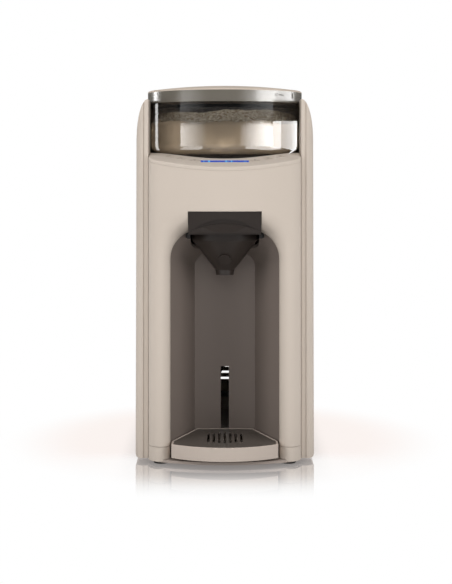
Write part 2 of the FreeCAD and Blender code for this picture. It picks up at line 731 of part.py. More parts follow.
def chassis():
    """Inner frame: two side walls with foot flanges and bosses, tied by a cross beam at the back."""
    front_y = FRONT + NOSE_DEPTH + SEAM
    back_y = BAY_WALL_Y - SEAM
    flange_y = FRONT + NICHE_BACK + WALL * 2
    window_z = BASE_TOP + 65
    step = (PLATE_Z - window_z) / 3.3
    parts = []
    for s in (-1, 1):
        outer = s * NOSE_HALF
        inner = s * INNER_X
        x0, x1 = min(outer, inner), max(outer, inner)
        wall = block(x0, x1, front_y, back_y, BASE_TOP, PLATE_TOP + 8)
        for row in range(3):
            z = window_z + row * step
            window = block(x0 - 1, x1 + 1, front_y + 22, front_y + 62, z, z + step - 20)
            wall = wall.cut(softened(window, 8, lambda e: e.BoundBox.XLength > 3))
        f0, f1 = min(inner, inner - s * 14), max(inner, inner - s * 14)
        flange = block(f0, f1, flange_y, back_y, BASE_TOP, BASE_TOP + WALL)
        ledge = block(f0, f1, front_y + 50, back_y, PLATE_Z - WALL, PLATE_Z)
        parts += [wall, flange, ledge]
    for x, y in screw_places():
        parts.append(rod(x, y, BASE_TOP, BASE_TOP + SCREW_L, SCREW_R + 2.2))
    beam = block(-INNER_X, INNER_X, back_y - WALL, back_y, SHELF_Z + 26, SHELF_Z + 56)
    frame = joined(parts + [beam])
    for x, y in screw_places():
        frame = frame.cut(rod(x, y, BASE_TOP - 1, BASE_TOP + SCREW_L + 1, SCREW_R + RUNNING))
    return frame


# ---- Niche and tray ----
def niche_block(grow, y_front, y_back, foot):
    """Tapering arched space of the niche, larger all round by grow, between two depths."""
    def ring(y):
        share = (y - FRONT - RETURN_DEPTH) / (NICHE_BACK - RETURN_DEPTH)
        half = ARCH_HALF + (NICHE_BACK_HALF - ARCH_HALF) * share + grow
        top = ARCH_TOP + (NICHE_BACK_TOP - ARCH_TOP) * share + grow
        r = ARCH_CORNER_R + (NICHE_BACK_R - ARCH_CORNER_R) * share + grow
        bend = r * (1 - math.sqrt(0.5))
        steps = [
            (half, foot),
            (half, top - r),
            (half - bend, top - bend, half - r, top),
            (r - half, top),
            (bend - half, top - bend, -half, top - r),
        ]
        return outline((-half, foot), steps, lambda x, z: V(x, y, z))

    return Part.makeLoft([ring(y_front), ring(y_back)], True, True)


def drawer_plan(grow, front_y, z0, z1):
    """U-shaped prism round the funnel: straight sides and a round back."""
    half = DRAWER_HALF + grow
    steps = [(half, front_y), (half, FUNNEL_Y), (0, FUNNEL_Y + half, -half, FUNNEL_Y), (-half, front_y)]
    return plan((half, front_y), steps, z0, z1)


def niche_liner():
    """Dark liner behind the arch: side walls that close in on a back wall with the tray's slot."""
    front_y = FRONT + RETURN_DEPTH + SEAM
    back_y = FRONT + NICHE_BACK
    shell = niche_block(WALL, front_y, back_y + WALL, BASE_TOP + 0.2)
    shell = shell.cut(niche_block(0, front_y - 5, back_y, BASE_TOP - 2))
    shell = shell.cut(drawer_plan(GUIDE_T + FIT + SEAM, FRONT, LIP_TOP - GUIDE_LIP_H - SEAM, HEIGHT))
    shell = shell.cut(funnel_passage())
    slot_top = TRAY_TOP + TRAY_TRAVEL + 1
    half = HOOK_W / 2 + FIT
    return shell.cut(block(-half, half, back_y - 3, back_y + 6, TRAY_Z + 1.6 - FIT, slot_top))


def funnel_passage():
    """Way that the funnel takes out of the niche: its round shape, drawn forward."""
    r = FUNNEL_R + 1.0
    low = CONE_FOOT - 1
    steps = [(r, FRONT), (r, FUNNEL_Y), (0, FUNNEL_Y + r, -r, FUNNEL_Y), (-r, FRONT)]
    return plan((r, FRONT), steps, low, HEIGHT)


def tray_plan(inset, front_inset, z0, z1):
    """Prism on the tray's plan: a bowed front, short straight cheeks, then sides that close in."""
    half = ARCH_HALF - TRAY_GAP - inset
    share = (NICHE_BACK_HALF - ARCH_HALF) / (NICHE_BACK - RETURN_DEPTH)
    cheek_y = FRONT + RETURN_DEPTH - 2
    back_y = FRONT + NICHE_BACK - TRAY_GAP - inset
    back_half = half + share * (back_y - cheek_y)
    r = TRAY_FRONT_R - front_inset
    bow_y = FRONT - TRAY_PROUD + TRAY_FRONT_R
    side_y = bow_y - math.sqrt(r ** 2 - half ** 2)
    steps = [
        (back_half, back_y),
        (half, cheek_y),
        (half, side_y),
        (0, bow_y - r, -half, side_y),
        (-half, cheek_y),
        (-back_half, back_y),
    ]
    return plan((back_half, back_y), steps, z0, z1)


def drip_tray():
    """Basin with a rim that the cover drops into and a hook that rides in the niche's slot."""
    body = softened(tray_plan(0, 0, TRAY_Z, TRAY_TOP), 3.0, upright)
    basin = softened(tray_plan(TRAY_WALL * 2, TRAY_WALL * 2, TRAY_Z + TRAY_WALL, TRAY_TOP + 1), 2.0, upright)
    seat_z = TRAY_TOP - TRAY_COVER_T - 0.4
    seat = softened(tray_plan(TRAY_WALL, TRAY_WALL, seat_z, TRAY_TOP + 1), 2.0, upright)
    body = body.cut(basin).cut(seat)
    body = softened(body, 0.8, lambda e: level_at(TRAY_TOP)(e) and e.BoundBox.YMin < FRONT)
    back_y = FRONT + NICHE_BACK
    neck = block(-HOOK_W / 2, HOOK_W / 2, back_y - TRAY_GAP - 0.5, back_y + WALL + FIT, TRAY_Z + 1.6, TRAY_TOP - 1)
    head = block(-HOOK_HEAD_W / 2, HOOK_HEAD_W / 2, back_y + WALL + FIT, back_y + WALL + FIT + 2,
                 TRAY_Z + 1.6, TRAY_TOP - 1)
    return joined([body, neck, head])


def tray_cover():
    """Flat cover with a slotted grille under the bottle."""
    low = TRAY_TOP - TRAY_COVER_T - 0.4 + 0.1
    inset = TRAY_WALL + FIT
    plate = softened(tray_plan(inset, inset, low, low + TRAY_COVER_T), 1.8, upright)
    for number in range(TRAY_SLOTS):
        x = (number - (TRAY_SLOTS - 1) / 2) * SLOT_PITCH
        reach = 26 - abs(x) * 0.45
        y0, y1 = FUNNEL_Y - 10 - reach, FUNNEL_Y - 10 + reach
        r = SLOT_W / 2
        steps = [(x + r, y1), (x, y1 + r, x - r, y1), (x - r, y0), (x, y0 - r, x + r, y0)]
        plate = plate.cut(plan((x + r, y0), steps, low - 1, low + TRAY_COVER_T + 1))
    return plate


# ---- Funnel drawer ----
def mixing_funnel():
    """Smoky funnel: sliding flange, upright rim, cone, nozzle, and a drip bead on its front."""
    top = DRAWER_Z
    under = top - FLANGE_T
    r_in = FUNNEL_R - FUNNEL_WALL
    tip_in = SPOUT_R - FUNNEL_WALL - 1
    funnel = turned((FUNNEL_R, top), [
        (FUNNEL_R, CONE_TOP), (SPOUT_R, CONE_FOOT), (SPOUT_R - 0.6, SPOUT_TIP),
        (tip_in, SPOUT_TIP), (tip_in, CONE_FOOT + 1.5), (r_in, CONE_TOP + 1), (r_in, top)], 0, FUNNEL_Y)
    flange = drawer_plan(-FIT, FRONT - 1, under, top).common(nose_block(1.8, BAY_Y, under, top))
    flange = flange.cut(rod(0, FUNNEL_Y, under - 1, top + 1, r_in))
    slope = math.atan2(FUNNEL_R - SPOUT_R, FUNNEL_CONE_H)
    mid_z = CONE_FOOT + FUNNEL_CONE_H * 0.42
    mid_r = SPOUT_R + (FUNNEL_R - SPOUT_R) * 0.42
    bead = Part.makeCylinder(6.2, 3.0, V(0, FUNNEL_Y - mid_r + 1.6, mid_z),
                             V(0, -math.cos(slope), -math.sin(slope)))
    hollow = [(r_in, top), (r_in, CONE_TOP + 1), (tip_in, CONE_FOOT + 1.5), (tip_in, SPOUT_TIP),
              (0, SPOUT_TIP)]
    bead = bead.cut(turned((0, top), hollow, 0, FUNNEL_Y))
    return joined([funnel, flange, bead])


def arc_band(half, foot, rise, low, y0, y1):
    """Prism along y under an arc that springs at foot and rises to its middle, down to low."""
    return front_view((-half, low), [(half, low), (half, foot), (0, rise, -half, foot)], y0, y1)


def funnel_cover():
    """Drawer front and lid over the funnel, with a crescent finger hold and holes for the feeds."""
    shell = drawer_plan(0, FRONT - 2, DRAWER_Z, DRAWER_TOP)
    hollow = drawer_plan(-DRAWER_WALL, FRONT + 6, DRAWER_Z - 1, DRAWER_TOP - DRAWER_WALL)
    shell = shell.cut(hollow)
    spring = DRAWER_Z + 1.6
    pull = arc_band(DRAWER_HALF - 2.5, spring, DRAWER_Z + 8.4, DRAWER_Z, FRONT - 2, FRONT + 5)
    crescent = arc_band(DRAWER_HALF - 2.5, spring, DRAWER_Z + 12.6, DRAWER_Z, FRONT - 3, FRONT + 3.8)
    crescent = crescent.cut(pull)
    face = nose_block(1.2, BAY_Y, DRAWER_Z, DRAWER_TOP)
    slope = [(FRONT - 0.6, DRAWER_Z), (FRONT + 1.4, DRAWER_Z + 8.6), (FRONT + 4, DRAWER_Z + 8.6)]
    wedge = side_view((FRONT + 4, DRAWER_Z), slope, -DRAWER_HALF, DRAWER_HALF)
    bow = nose_block(-0.6, BAY_Y, DRAWER_Z, DRAWER_TOP)
    lip = wedge.common(pull).common(bow).cut(nose_block(1.2, BAY_Y, DRAWER_Z - 1, DRAWER_TOP))
    cover = joined([shell.common(face).cut(crescent), lip])
    cover = cover.cut(rod(0, OUTLET_Y, DRAWER_TOP - 5, DRAWER_TOP + 1, OUTLET_R + 3))
    return cover.cut(rod(0, NOZZLE_Y, DRAWER_TOP - 5, DRAWER_TOP + 1, 3.5))


def funnel_guide():
    """Black runner: walls round the drawer with rails under it and short nibs in the opening."""
    low = LIP_TOP - GUIDE_LIP_H
    high = DRAWER_TOP + 2
    behind = FRONT + RETURN_DEPTH + SEAM
    wall = drawer_plan(GUIDE_T + FIT, behind, low, high)
    wall = wall.cut(drawer_plan(FIT, FRONT, low - 1, high + 1))
    rail = drawer_plan(FIT + 0.1, behind, low, LIP_TOP)
    rail = rail.cut(drawer_plan(RAIL_X - DRAWER_HALF, FRONT, low - 1, LIP_TOP + 1))
    nibs = [block(RAIL_X, DRAWER_HALF + FIT + 0.7, FRONT + RETURN_DEPTH / 2, behind + 0.1, low, LIP_TOP)]
    nibs.append(mirrored(nibs[0]))
    shelf = tube(0, FUNNEL_Y, high - 1.6, high, DRAWER_HALF + GUIDE_T, FUNNEL_R)
    shelf = shelf.common(block(-DRAWER_HALF, DRAWER_HALF, NOZZLE_Y + 2, BAY_Y, low, high + 1))
    return joined([wall, rail, shelf] + nibs)


# ---- Powder container, wheels and lid ----
def powder_container():
    """Clear cup with a neck for the lid, an outlet, a hub hole and a fluted rib on its back wall."""
    inner_r = JAR_R - JAR_WALL
    neck_in = NECK_R - JAR_WALL
    floor = JAR_Z + JAR_FLOOR
    r = JAR_CORNER_R
    ri = r - JAR_WALL
    k = math.sqrt(0.5)
    cup = turned((HUB_R + RUNNING, JAR_Z), [
        (JAR_R - r, JAR_Z),
        (JAR_R - r + r * k, JAR_Z + r - r * k, JAR_R, JAR_Z + r),
        (JAR_R, JAR_TOP), (NECK_R, JAR_TOP), (NECK_R, NECK_TOP), (neck_in, NECK_TOP),
        (neck_in, JAR_TOP - 2), (inner_r, JAR_TOP - 5), (inner_r, floor + ri),
        (inner_r - ri + ri * k, floor + ri - ri * k, inner_r - ri, floor),
        (HUB_R + RUNNING, floor)], 0, JAR_Y)
    parts = [cup]
    for number in range(RIB_FLUTES):
        x = RIB_X + (number - (RIB_FLUTES - 1) / 2) * RIB_R * 1.9
        y = JAR_Y + math.sqrt(inner_r ** 2 - x ** 2)
        flute = rod(x, y, floor + 14, JAR_TOP - 4.6, RIB_R)
        parts.append(flute.common(rod(0, JAR_Y, floor, JAR_TOP, inner_r + 0.5)))
    spout = tube(0, OUTLET_Y, JAR_Z - 2, JAR_Z + 0.5, OUTLET_R + 1.5, OUTLET_R)
    parts.append(spout)
    for number in range(4):
        lug = tube(0, JAR_Y, NECK_TOP - 2.8, NECK_TOP - 1.2, NECK_R + 1.1, NECK_R - 0.5)
        wedge = block(-8, 8, JAR_Y - JAR_R, JAR_Y, NECK_TOP - 3, NECK_TOP)
        parts.append(spun(lug.common(wedge), 0, JAR_Y, 90 * number))
    return joined(parts).cut(rod(0, OUTLET_Y, JAR_Z - 5, floor + 1, OUTLET_R))


def hexagon(across, x, y, z0, z1):
    """Upright hexagonal prism."""
    r = across / math.sqrt(3)
    points = [V(x + r * math.cos(math.radians(60 * k)), y + r * math.sin(math.radians(60 * k)), z0)
              for k in range(7)]
    return Part.Face(Part.makePolygon(points)).extrude(V(0, 0, z1 - z0))


def metering_wheel():
    """Dosing disc: a ring of pockets that carry powder round to the outlet, on a socketed hub."""
    disc = rod(0, JAR_Y, METER_Z, METER_TOP, METER_R)
    disc = softened(disc, 1.0, level_at(METER_TOP))
    hub = rod(0, JAR_Y, JAR_Z + 0.8, METER_TOP, HUB_R)
    spigot = rod(0, JAR_Y, METER_TOP, METER_TOP + 8, HUB_R - 2)
    wheel = joined([disc, hub, spigot])
    for number in range(POCKETS):
        pocket = rod(0, OUTLET_Y, METER_Z - 1, METER_TOP + 1, POCKET_R)
        wheel = wheel.cut(spun(pocket, 0, JAR_Y, 360 / POCKETS * number))
    relief = tube(0, JAR_Y, METER_TOP - 2, METER_TOP + 1, OUTLET_AT - POCKET_R - 4, HUB_R + 5)
    socket = hexagon(SOCKET_AF, 0, JAR_Y, JAR_Z, METER_TOP - 0.8)
    return wheel.cut(relief).cut(socket)


def stirring_wheel():
    """Agitator: a hub with curved arms that end in upright paddles near the wall."""
    hub = rod(0, JAR_Y, METER_TOP + 0.1, METER_TOP + 14, HUB_R + 3)
    hub = softened(hub, 2.0, level_at(METER_TOP + 14))
    bore = rod(0, JAR_Y, METER_TOP - 1, METER_TOP + 8.2, HUB_R - 2 + RUNNING)
    parts = [hub]
    for number in range(STIR_ARMS):
        wide, thin = 5.0, 3.0
        bow = 12.0
        steps = [
            (STIR_R / 2, bow + wide, STIR_R, thin),
            (STIR_R, -thin),
            (STIR_R / 2, bow - wide, 4, -wide),
        ]
        arm = plan((4, wide), steps, ARM_Z, ARM_Z + STIR_ARM_T)
        paddle = block(STIR_R - 9, STIR_R - 1, -1.2, 1.2, ARM_Z, ARM_Z + PADDLE_H)
        blade = joined([arm, paddle])
        blade.translate(V(0, JAR_Y, 0))
        parts.append(spun(blade, 0, JAR_Y, 360 / STIR_ARMS * number + 30))
    return joined(parts).cut(bore)


def powder_scraper():
    """Fixed leveller over the outlet: a slotted, fan-shaped plate that is fast to the wall."""
    ring = tube(0, JAR_Y, SCRAPER_Z, SCRAPER_Z + SCRAPER_T, JAR_R - JAR_WALL - 1.1, HUB_R + 12)
    far = JAR_R + 4
    far_x, far_y = far * math.sin(SCRAPER_SPAN), JAR_Y - far * math.cos(SCRAPER_SPAN)
    fan = plan((0, JAR_Y), [(far_x, far_y), (-far_x, far_y)], SCRAPER_Z - 1, SCRAPER_Z + 10)
    plate = ring.common(fan)
    window = tube(0, JAR_Y, SCRAPER_Z - 1, SCRAPER_Z + 10, METER_R + 5, METER_R - 3).common(fan)
    slot = window.common(block(-14, 14, FRONT, JAR_Y, SCRAPER_Z - 1, SCRAPER_Z + 9))
    return plate.cut(slot)


def lid_band():
    """Satin ring that turns on the container's neck, with bayonet ramps inside."""
    r_out = BAND_R
    ring = tube(0, JAR_Y, BAND_Z, CAP_Z, r_out, r_out - BAND_T)
    ring = softened(ring, 0.5, lambda e: level_at(BAND_Z)(e) and e.BoundBox.XLength > 2 * r_out - 0.1)
    parts = [ring]
    for number in range(4):
        ramp = tube(0, JAR_Y, BAND_Z + 0.4, BAND_Z + 1.8, r_out - BAND_T + 0.3, NECK_R + 0.4)
        wedge = block(-7, 7, JAR_Y - JAR_R, JAR_Y, BAND_Z, BAND_Z + 4)
        parts.append(spun(ramp.common(wedge), 0, JAR_Y, 90 * number + 45))
    return joined(parts)


def lid_cap():
    """Shallow domed cap with a seat for the seal and a plug ring inside the neck."""
    r = BAND_R
    band_in = r - BAND_T
    seat_z = NECK_TOP + 3.2
    plug_r = NECK_R - JAR_WALL - 0.6
    rim_r = r - 2.5
    rim_z = CAP_Z + CAP_EDGE_H + 0.6
    rise = HEIGHT - rim_z
    ball_r = (rim_r ** 2 + rise ** 2) / (2 * rise)
    ball_z = HEIGHT - ball_r
    half = math.asin(rim_r / ball_r) / 2
    deep_r = ball_r - CAP_T
    hole = math.asin((plug_r - 2) / deep_r)
    return turned((0, HEIGHT), [
        (0, HEIGHT - CAP_T),
        (deep_r * math.sin(hole / 2), ball_z + deep_r * math.cos(hole / 2),
         plug_r - 2, ball_z + deep_r * math.cos(hole)),
        (plug_r - 2, NECK_TOP - 3), (plug_r, NECK_TOP - 3), (plug_r, seat_z),
        (band_in - 0.1, seat_z), (band_in - 0.1, CAP_Z), (r, CAP_Z),
        (r, CAP_Z + CAP_EDGE_H - 0.4), (r - 0.6, rim_z - 0.5, rim_r, rim_z),
        (ball_r * math.sin(half), ball_z + ball_r * math.cos(half), 0, HEIGHT)], 0, JAR_Y)


def lid_seal():
    """Soft ring between the container's neck and the cap."""
    ring = tube(0, JAR_Y, NECK_TOP + FIT, NECK_TOP + 3.2 - FIT, NECK_R - 0.2, NECK_R - JAR_WALL + 0.2)
    return softened(ring, 0.5, lambda e: True)


# ---- Drive ----
def gear(teeth, shift, x, y, z0, z1):
    """Involute spur gear; shift turns it by that share of a tooth from a tooth on the +x side."""
    pitch_r = MODULE * teeth / 2
    base_r = pitch_r * math.cos(PRESSURE)
    tip_r = pitch_r + MODULE * ADDENDUM
    root_r = pitch_r - MODULE * 1.25
    involute_at = math.tan(PRESSURE) - PRESSURE
    half_tooth = math.pi / (2 * teeth) - BACKLASH / (4 * pitch_r)
    start_r = max(base_r, root_r + 0.01)

    def spot(r, angle):
        return V(x + r * math.cos(angle), y + r * math.sin(angle), z0)

    def half_angle(r):
        """Half the tooth's angular width at radius r, by the involute."""
        lean = math.acos(min(1.0, base_r / r))
        return half_tooth + involute_at - (math.tan(lean) - lean)

    radii = [start_r + (tip_r - start_r) * k / 3 for k in range(4)]
    edges = []
    step = 2 * math.pi / teeth
    for number in range(teeth):
        mid = step * (number + shift)
        rising = [spot(r, mid - half_angle(r)) for r in radii]
        falling = [spot(r, mid + half_angle(r)) for r in reversed(radii)]
        foot = half_angle(start_r)
        left, right = spot(root_r, mid - foot), spot(root_r, mid + foot)
        following = spot(root_r, mid + step - foot)
        for points in (rising, falling):
            curve = Part.BSplineCurve()
            curve.interpolate(points)
            if points is rising:
                edges.append(Part.LineSegment(left, rising[0]).toShape())
                edges.append(curve.toShape())
                edges.append(Part.Arc(rising[-1], spot(tip_r, mid), falling[0]).toShape())
            else:
                edges.append(curve.toShape())
                edges.append(Part.LineSegment(falling[-1], right).toShape())
        edges.append(Part.Arc(right, spot(root_r, mid + step / 2), following).toShape())
    return Part.Face(Part.Wire(edges)).extrude(V(0, 0, z1 - z0))


def drive_gear():
    """Wheel on the container's axis, with its journal below and the hexagonal dog above."""
    step = 2 * math.pi / GEAR_TEETH
    shift = MESH_ANGLE / step + 0.5
    wheel = gear(GEAR_TEETH, shift, 0, JAR_Y, GEAR_Z, GEAR_Z + GEAR_T)
    dish = tube(0, JAR_Y, GEAR_Z + GEAR_T - 2.5, GEAR_Z + GEAR_T + 1, PITCH_R - 5, SHAFT_R + 5)
    journal = rod(0, JAR_Y, PLATE_Z - 3, GEAR_Z, SHAFT_R)
    neck = rod(0, JAR_Y, GEAR_Z + GEAR_T, WELL_Z + 0.2, HUB_R - 1.5)
    dog = hexagon(SOCKET_AF - DOG_PLAY, 0, JAR_Y, WELL_Z + 0.2, METER_TOP - 2.2)
    dog = softened(dog, 0.8, level_at(METER_TOP - 2.2))
    holes = [spun(rod(16, JAR_Y, GEAR_Z - 1, GEAR_Z + GEAR_T + 1, 3.2), 0, JAR_Y, 60 * k) for k in range(6)]
    return joined([wheel.cut(dish).cut(Part.makeCompound(holes)), journal, neck, dog])


def motor_pinion():
    """Small gear on the motor's shaft."""
    step = 2 * math.pi / PINION_TEETH
    shift = (MESH_ANGLE + math.pi) / step
    wheel = gear(PINION_TEETH, shift, MOTOR_X, MOTOR_Y, GEAR_Z, GEAR_Z + GEAR_T)
    shaft = rod(MOTOR_X, MOTOR_Y, PLATE_Z - 2, GEAR_Z + GEAR_T + 1, MOTOR_SHAFT_R)
    return joined([wheel, shaft])


def gear_plate():
    """Plate across the chassis that carries motor, bush, chute and nozzle."""
    front_y = FRONT + NOSE_DEPTH + SEAM + 50
    nose = block(-40, 40, OUTLET_Y - 18, front_y + 1, PLATE_Z, PLATE_TOP)
    nose = softened(nose, 8, lambda e: upright(e) and e.BoundBox.YMax < OUTLET_Y - 10)
    half = INNER_X - 0.05
    plate = joined([nose, block(-half, half, front_y, BAY_WALL_Y - SEAM * 2, PLATE_Z, PLATE_TOP)])
    plate = plate.cut(rod(0, JAR_Y, 0, HEIGHT, SHAFT_R + 3))
    plate = plate.cut(rod(0, OUTLET_Y, 0, HEIGHT, OUTLET_R + 2.3))
    plate = plate.cut(rod(MOTOR_X, MOTOR_Y, 0, HEIGHT, MOTOR_SHAFT_R + 3))
    for x, y in motor_screw_places():
        plate = plate.cut(rod(x, y, 0, HEIGHT, SCREW_R + 0.1))
    return plate.cut(softened(block(-45, 45, BAY_WALL_Y - 55, BAY_WALL_Y - 20, 0, HEIGHT), 8, upright))


def shaft_bush():
    """Flanged bearing bush pressed into the gear plate."""
    bush = joined([rod(0, JAR_Y, PLATE_Z - 2, PLATE_TOP, SHAFT_R + 3),
                   rod(0, JAR_Y, PLATE_TOP, PLATE_TOP + 1.6, SHAFT_R + 5)])
    return bush.cut(rod(0, JAR_Y, PLATE_Z - 5, PLATE_TOP + 5, SHAFT_R + RUNNING))


def motor_screw_places():
    """Two screws through the plate into the gearbox."""
    reach = GEARBOX_R - 4
    return [(MOTOR_X + s * reach * math.sqrt(0.5), MOTOR_Y - s * reach * math.sqrt(0.5)) for s in (-1, 1)]


def motor_screws():
    """Screws that hold the gear motor up to the plate."""
    screws = []
    for x, y in motor_screw_places():
        shank = rod(x, y, PLATE_Z - 5, PLATE_TOP, SCREW_R)
        head = softened(rod(x, y, PLATE_TOP, PLATE_TOP + 1.8, 2.8), 0.5, level_at(PLATE_TOP + 1.8))
        slot = block(x - 2, x + 2, y - 0.4, y + 0.4, PLATE_TOP + 1, PLATE_TOP + 3)
        screws.append(joined([shank, head]).cut(slot))
    return Part.makeCompound(screws)


def gear_motor():
    """Motor can under a round gearbox, with its end bell and two terminals."""
    top = PLATE_Z
    box_z = top - GEARBOX_H
    can_z = box_z - MOTOR_H
    gearbox = softened(rod(MOTOR_X, MOTOR_Y, box_z, top, GEARBOX_R), 1.0, level_at(box_z))
    can = softened(rod(MOTOR_X, MOTOR_Y, can_z, box_z, MOTOR_R), 1.5, level_at(can_z))
    bell = rod(MOTOR_X, MOTOR_Y, can_z - 3, can_z, 5)
    tabs = [block(x - 0.4, x + 0.4, MOTOR_Y - 1.5, MOTOR_Y + 1.5, can_z - 6, can_z)
            for x in (MOTOR_X - 8, MOTOR_X + 8)]
    motor = joined([gearbox, can, bell] + tabs)
    motor = motor.cut(rod(MOTOR_X, MOTOR_Y, top - 5, top + 1, MOTOR_SHAFT_R + RUNNING))
    for x, y in motor_screw_places():
        motor = motor.cut(rod(x, y, top - 6, top + 1, SCREW_R + RUNNING))
    return motor


def powder_chute():
    """Drop tube from the well down to the funnel cover, with a flange on the gear plate."""
    low = DRAWER_TOP + 0.8
    body = rod(0, OUTLET_Y, low, WELL_Z - WALL - 0.1, OUTLET_R + 2)
    flange = rod(0, OUTLET_Y, PLATE_TOP, PLATE_TOP + 1.6, OUTLET_R + 5)
    return joined([body, flange]).cut(rod(0, OUTLET_Y, low - 1, WELL_Z, OUTLET_R + 0.4))


def dock_seal():
    """Soft lipped ring in the well round the powder outlet."""
    outer = OUTLET_R + 3.9
    ring = tube(0, OUTLET_Y, WELL_Z - WALL, WELL_Z - 0.1, outer, OUTLET_R + 1.8)
    return softened(ring, 0.4, level_at(WELL_Z - 0.1))


# ---- Water side ----
def round_bar(path, start, along, r):
    """Bar of radius r that follows a path, which starts in the direction along."""
    ring = Part.Wire(Part.Circle(start, along, r).toShape())
    return path.makePipeShell([ring], True, False, 0)


def hose(points):
    """Hose from nipple to nipple: straight runs joined by tangent arcs."""
    corners = [V(*p) for p in points]
    edges = []
    here = corners[0]
    for before, corner, after in zip(corners, corners[1:], corners[2:]):
        into = (corner - before).normalize()
        out = (after - corner).normalize()
        turn = math.acos(max(-1.0, min(1.0, into.dot(out))))
        cut = 0.45 * min((corner - before).Length, (after - corner).Length)
        a = corner - into * cut
        b = corner + out * cut
        bisector = (out - into).normalize()
        radius = cut / math.tan(turn / 2)
        centre = corner + bisector * (radius / math.cos(turn / 2))
        mid = centre - bisector * radius
        edges.append(Part.LineSegment(here, a).toShape())
        edges.append(Part.Arc(a, mid, b).toShape())
        here = b
    edges.append(Part.LineSegment(here, corners[-1]).toShape())
    return round_bar(Part.Wire(edges), corners[0], corners[1] - corners[0], HOSE_R)


def tank_block(inset, z0, z1):
    """Prism inside the tank's plan, with large round back corners."""
    body = block(inset - TANK_HALF, TANK_HALF - inset, TANK_FRONT + inset, BACK - inset, z0, z1)
    body = softened(body, BACK_CORNER_R - inset, lambda e: upright(e) and e.BoundBox.YMin > BACK - inset - 1)
    return softened(body, 6.0 - inset, lambda e: upright(e) and e.BoundBox.YMax < TANK_FRONT + inset + 1)


def hinge_places(width, first):
    """Lower and upper x of the hinge barrels on both sides, from first outwards."""
    return [(first, first + width), (-first - width, -first)]


def barrel(x0, x1, r):
    """Cylinder along the tank lid's hinge line."""
    return Part.makeCylinder(r, x1 - x0, V(x0, HINGE_Y, HINGE_Z), V(1, 0, 0))


def water_tank():
    """Clear tank with a valve boss below, hinge barrels on its back rim and a grip rib in front."""
    outer = softened(tank_block(0, TANK_Z, TANK_TOP), 4.0, level_at(TANK_Z))
    tank = outer.cut(tank_block(TANK_WALL, TANK_FLOOR, TANK_TOP + 1))
    boss = rod(0, TANK_Y, TANK_Z - BOSS_H, TANK_FLOOR, BOSS_R)
    parts = [tank, boss]
    for x0, x1 in hinge_places(HINGE_W, HINGE_X):
        post = block(x0, x1, HINGE_Y - 1, HINGE_Y + 2.4, TANK_TOP - 8, HINGE_Z)
        parts += [post, barrel(x0, x1, HINGE_R)]
    tank = joined(parts).cut(rod(0, TANK_Y, TANK_Z - BOSS_H - 1, TANK_FLOOR + 1, PORT_R))
    return tank.cut(barrel(-TANK_HALF, TANK_HALF, PIN_R + RUNNING))


def tank_lid():
    """Flat hinged lid with a skirt inside the rim and a lifting tab at its front."""
    low = TANK_TOP + FIT
    plate = softened(tank_block(0, low, low + TANK_LID_T), 1.0, level_at(low + TANK_LID_T))
    skirt = tank_block(TANK_WALL + 0.5, low - 4, low + 1).cut(tank_block(TANK_WALL + 2.3, low - 5, low))
    skirt = skirt.cut(block(-TANK_HALF, TANK_HALF, HINGE_Y - 9, BACK, 0, HEIGHT))
    lid = joined([plate, skirt]).cut(block(-SIDE_X, SIDE_X, HINGE_Y + 0.5, BACK + 1, 0, HEIGHT))
    for x0, x1 in hinge_places(HINGE_W, HINGE_X):
        lid = lid.cut(block(x0 - FIT, x1 + FIT, HINGE_Y - HINGE_R - 1.2, BACK + 1, 0, HEIGHT))
    parts = [lid]
    for side in (-1, 1):
        for start in (HINGE_X - HINGE_W - FIT, HINGE_X + HINGE_W + FIT):
            x0, x1 = sorted((side * start, side * (start + HINGE_W)))
            hold = block(x0, x1, HINGE_Y - 4, HINGE_Y, low, HINGE_Z)
            parts += [hold, barrel(x0, x1, HINGE_R)]
    tab = block(-16, 16, TANK_FRONT + 5, TANK_FRONT + 8, low + TANK_LID_T - 1, low + TANK_LID_T + 2.4)
    return joined(parts + [tab]).cut(barrel(-TANK_HALF, TANK_HALF, PIN_R + RUNNING))


def hinge_pins():
    """Two pins of the tank lid's hinge."""
    pins = []
    reach = HINGE_W + FIT
    for side in (-1, 1):
        x0, x1 = sorted((side * (HINGE_X - reach), side * (HINGE_X + HINGE_W + reach)))
        pins.append(barrel(x0 + 0.5, x1 - 0.5, PIN_R))
    return Part.makeCompound(pins)


def tank_valve():
    """Poppet: a disc that closes the port, with a stem that the dock's pin lifts."""
    head = softened(rod(0, TANK_Y, VALVE_Z, VALVE_Z + VALVE_T, VALVE_R), 0.6, level_at(VALVE_Z + VALVE_T))
    stem = rod(0, TANK_Y, STEM_FOOT, VALVE_Z, STEM_R)
    guide = rod(0, TANK_Y, VALVE_Z + VALVE_T, VALVE_Z + VALVE_T + 3, SPRING_R - SPRING_WIRE - 0.8)
    return joined([head, stem, guide])


def valve_spring():
    """Coil spring between the poppet and the cage: a bar along eight points a turn."""
    low = VALVE_Z + VALVE_T + 0.15 + SPRING_WIRE
    high = CAGE_TOP - 1.6 - 0.15 - SPRING_WIRE
    last = int(SPRING_TURNS * 8)
    points = []
    for number in range(last + 1):
        angle = math.pi / 4 * number
        points.append(V(SPRING_R * math.cos(angle), TANK_Y + SPRING_R * math.sin(angle),
                        low + (high - low) * number / last))
    coil = Part.BSplineCurve()
    coil.interpolate(points)
    along = coil.tangent(coil.FirstParameter)[0]
    return round_bar(Part.Wire(coil.toShape()), points[0], along, SPRING_WIRE)


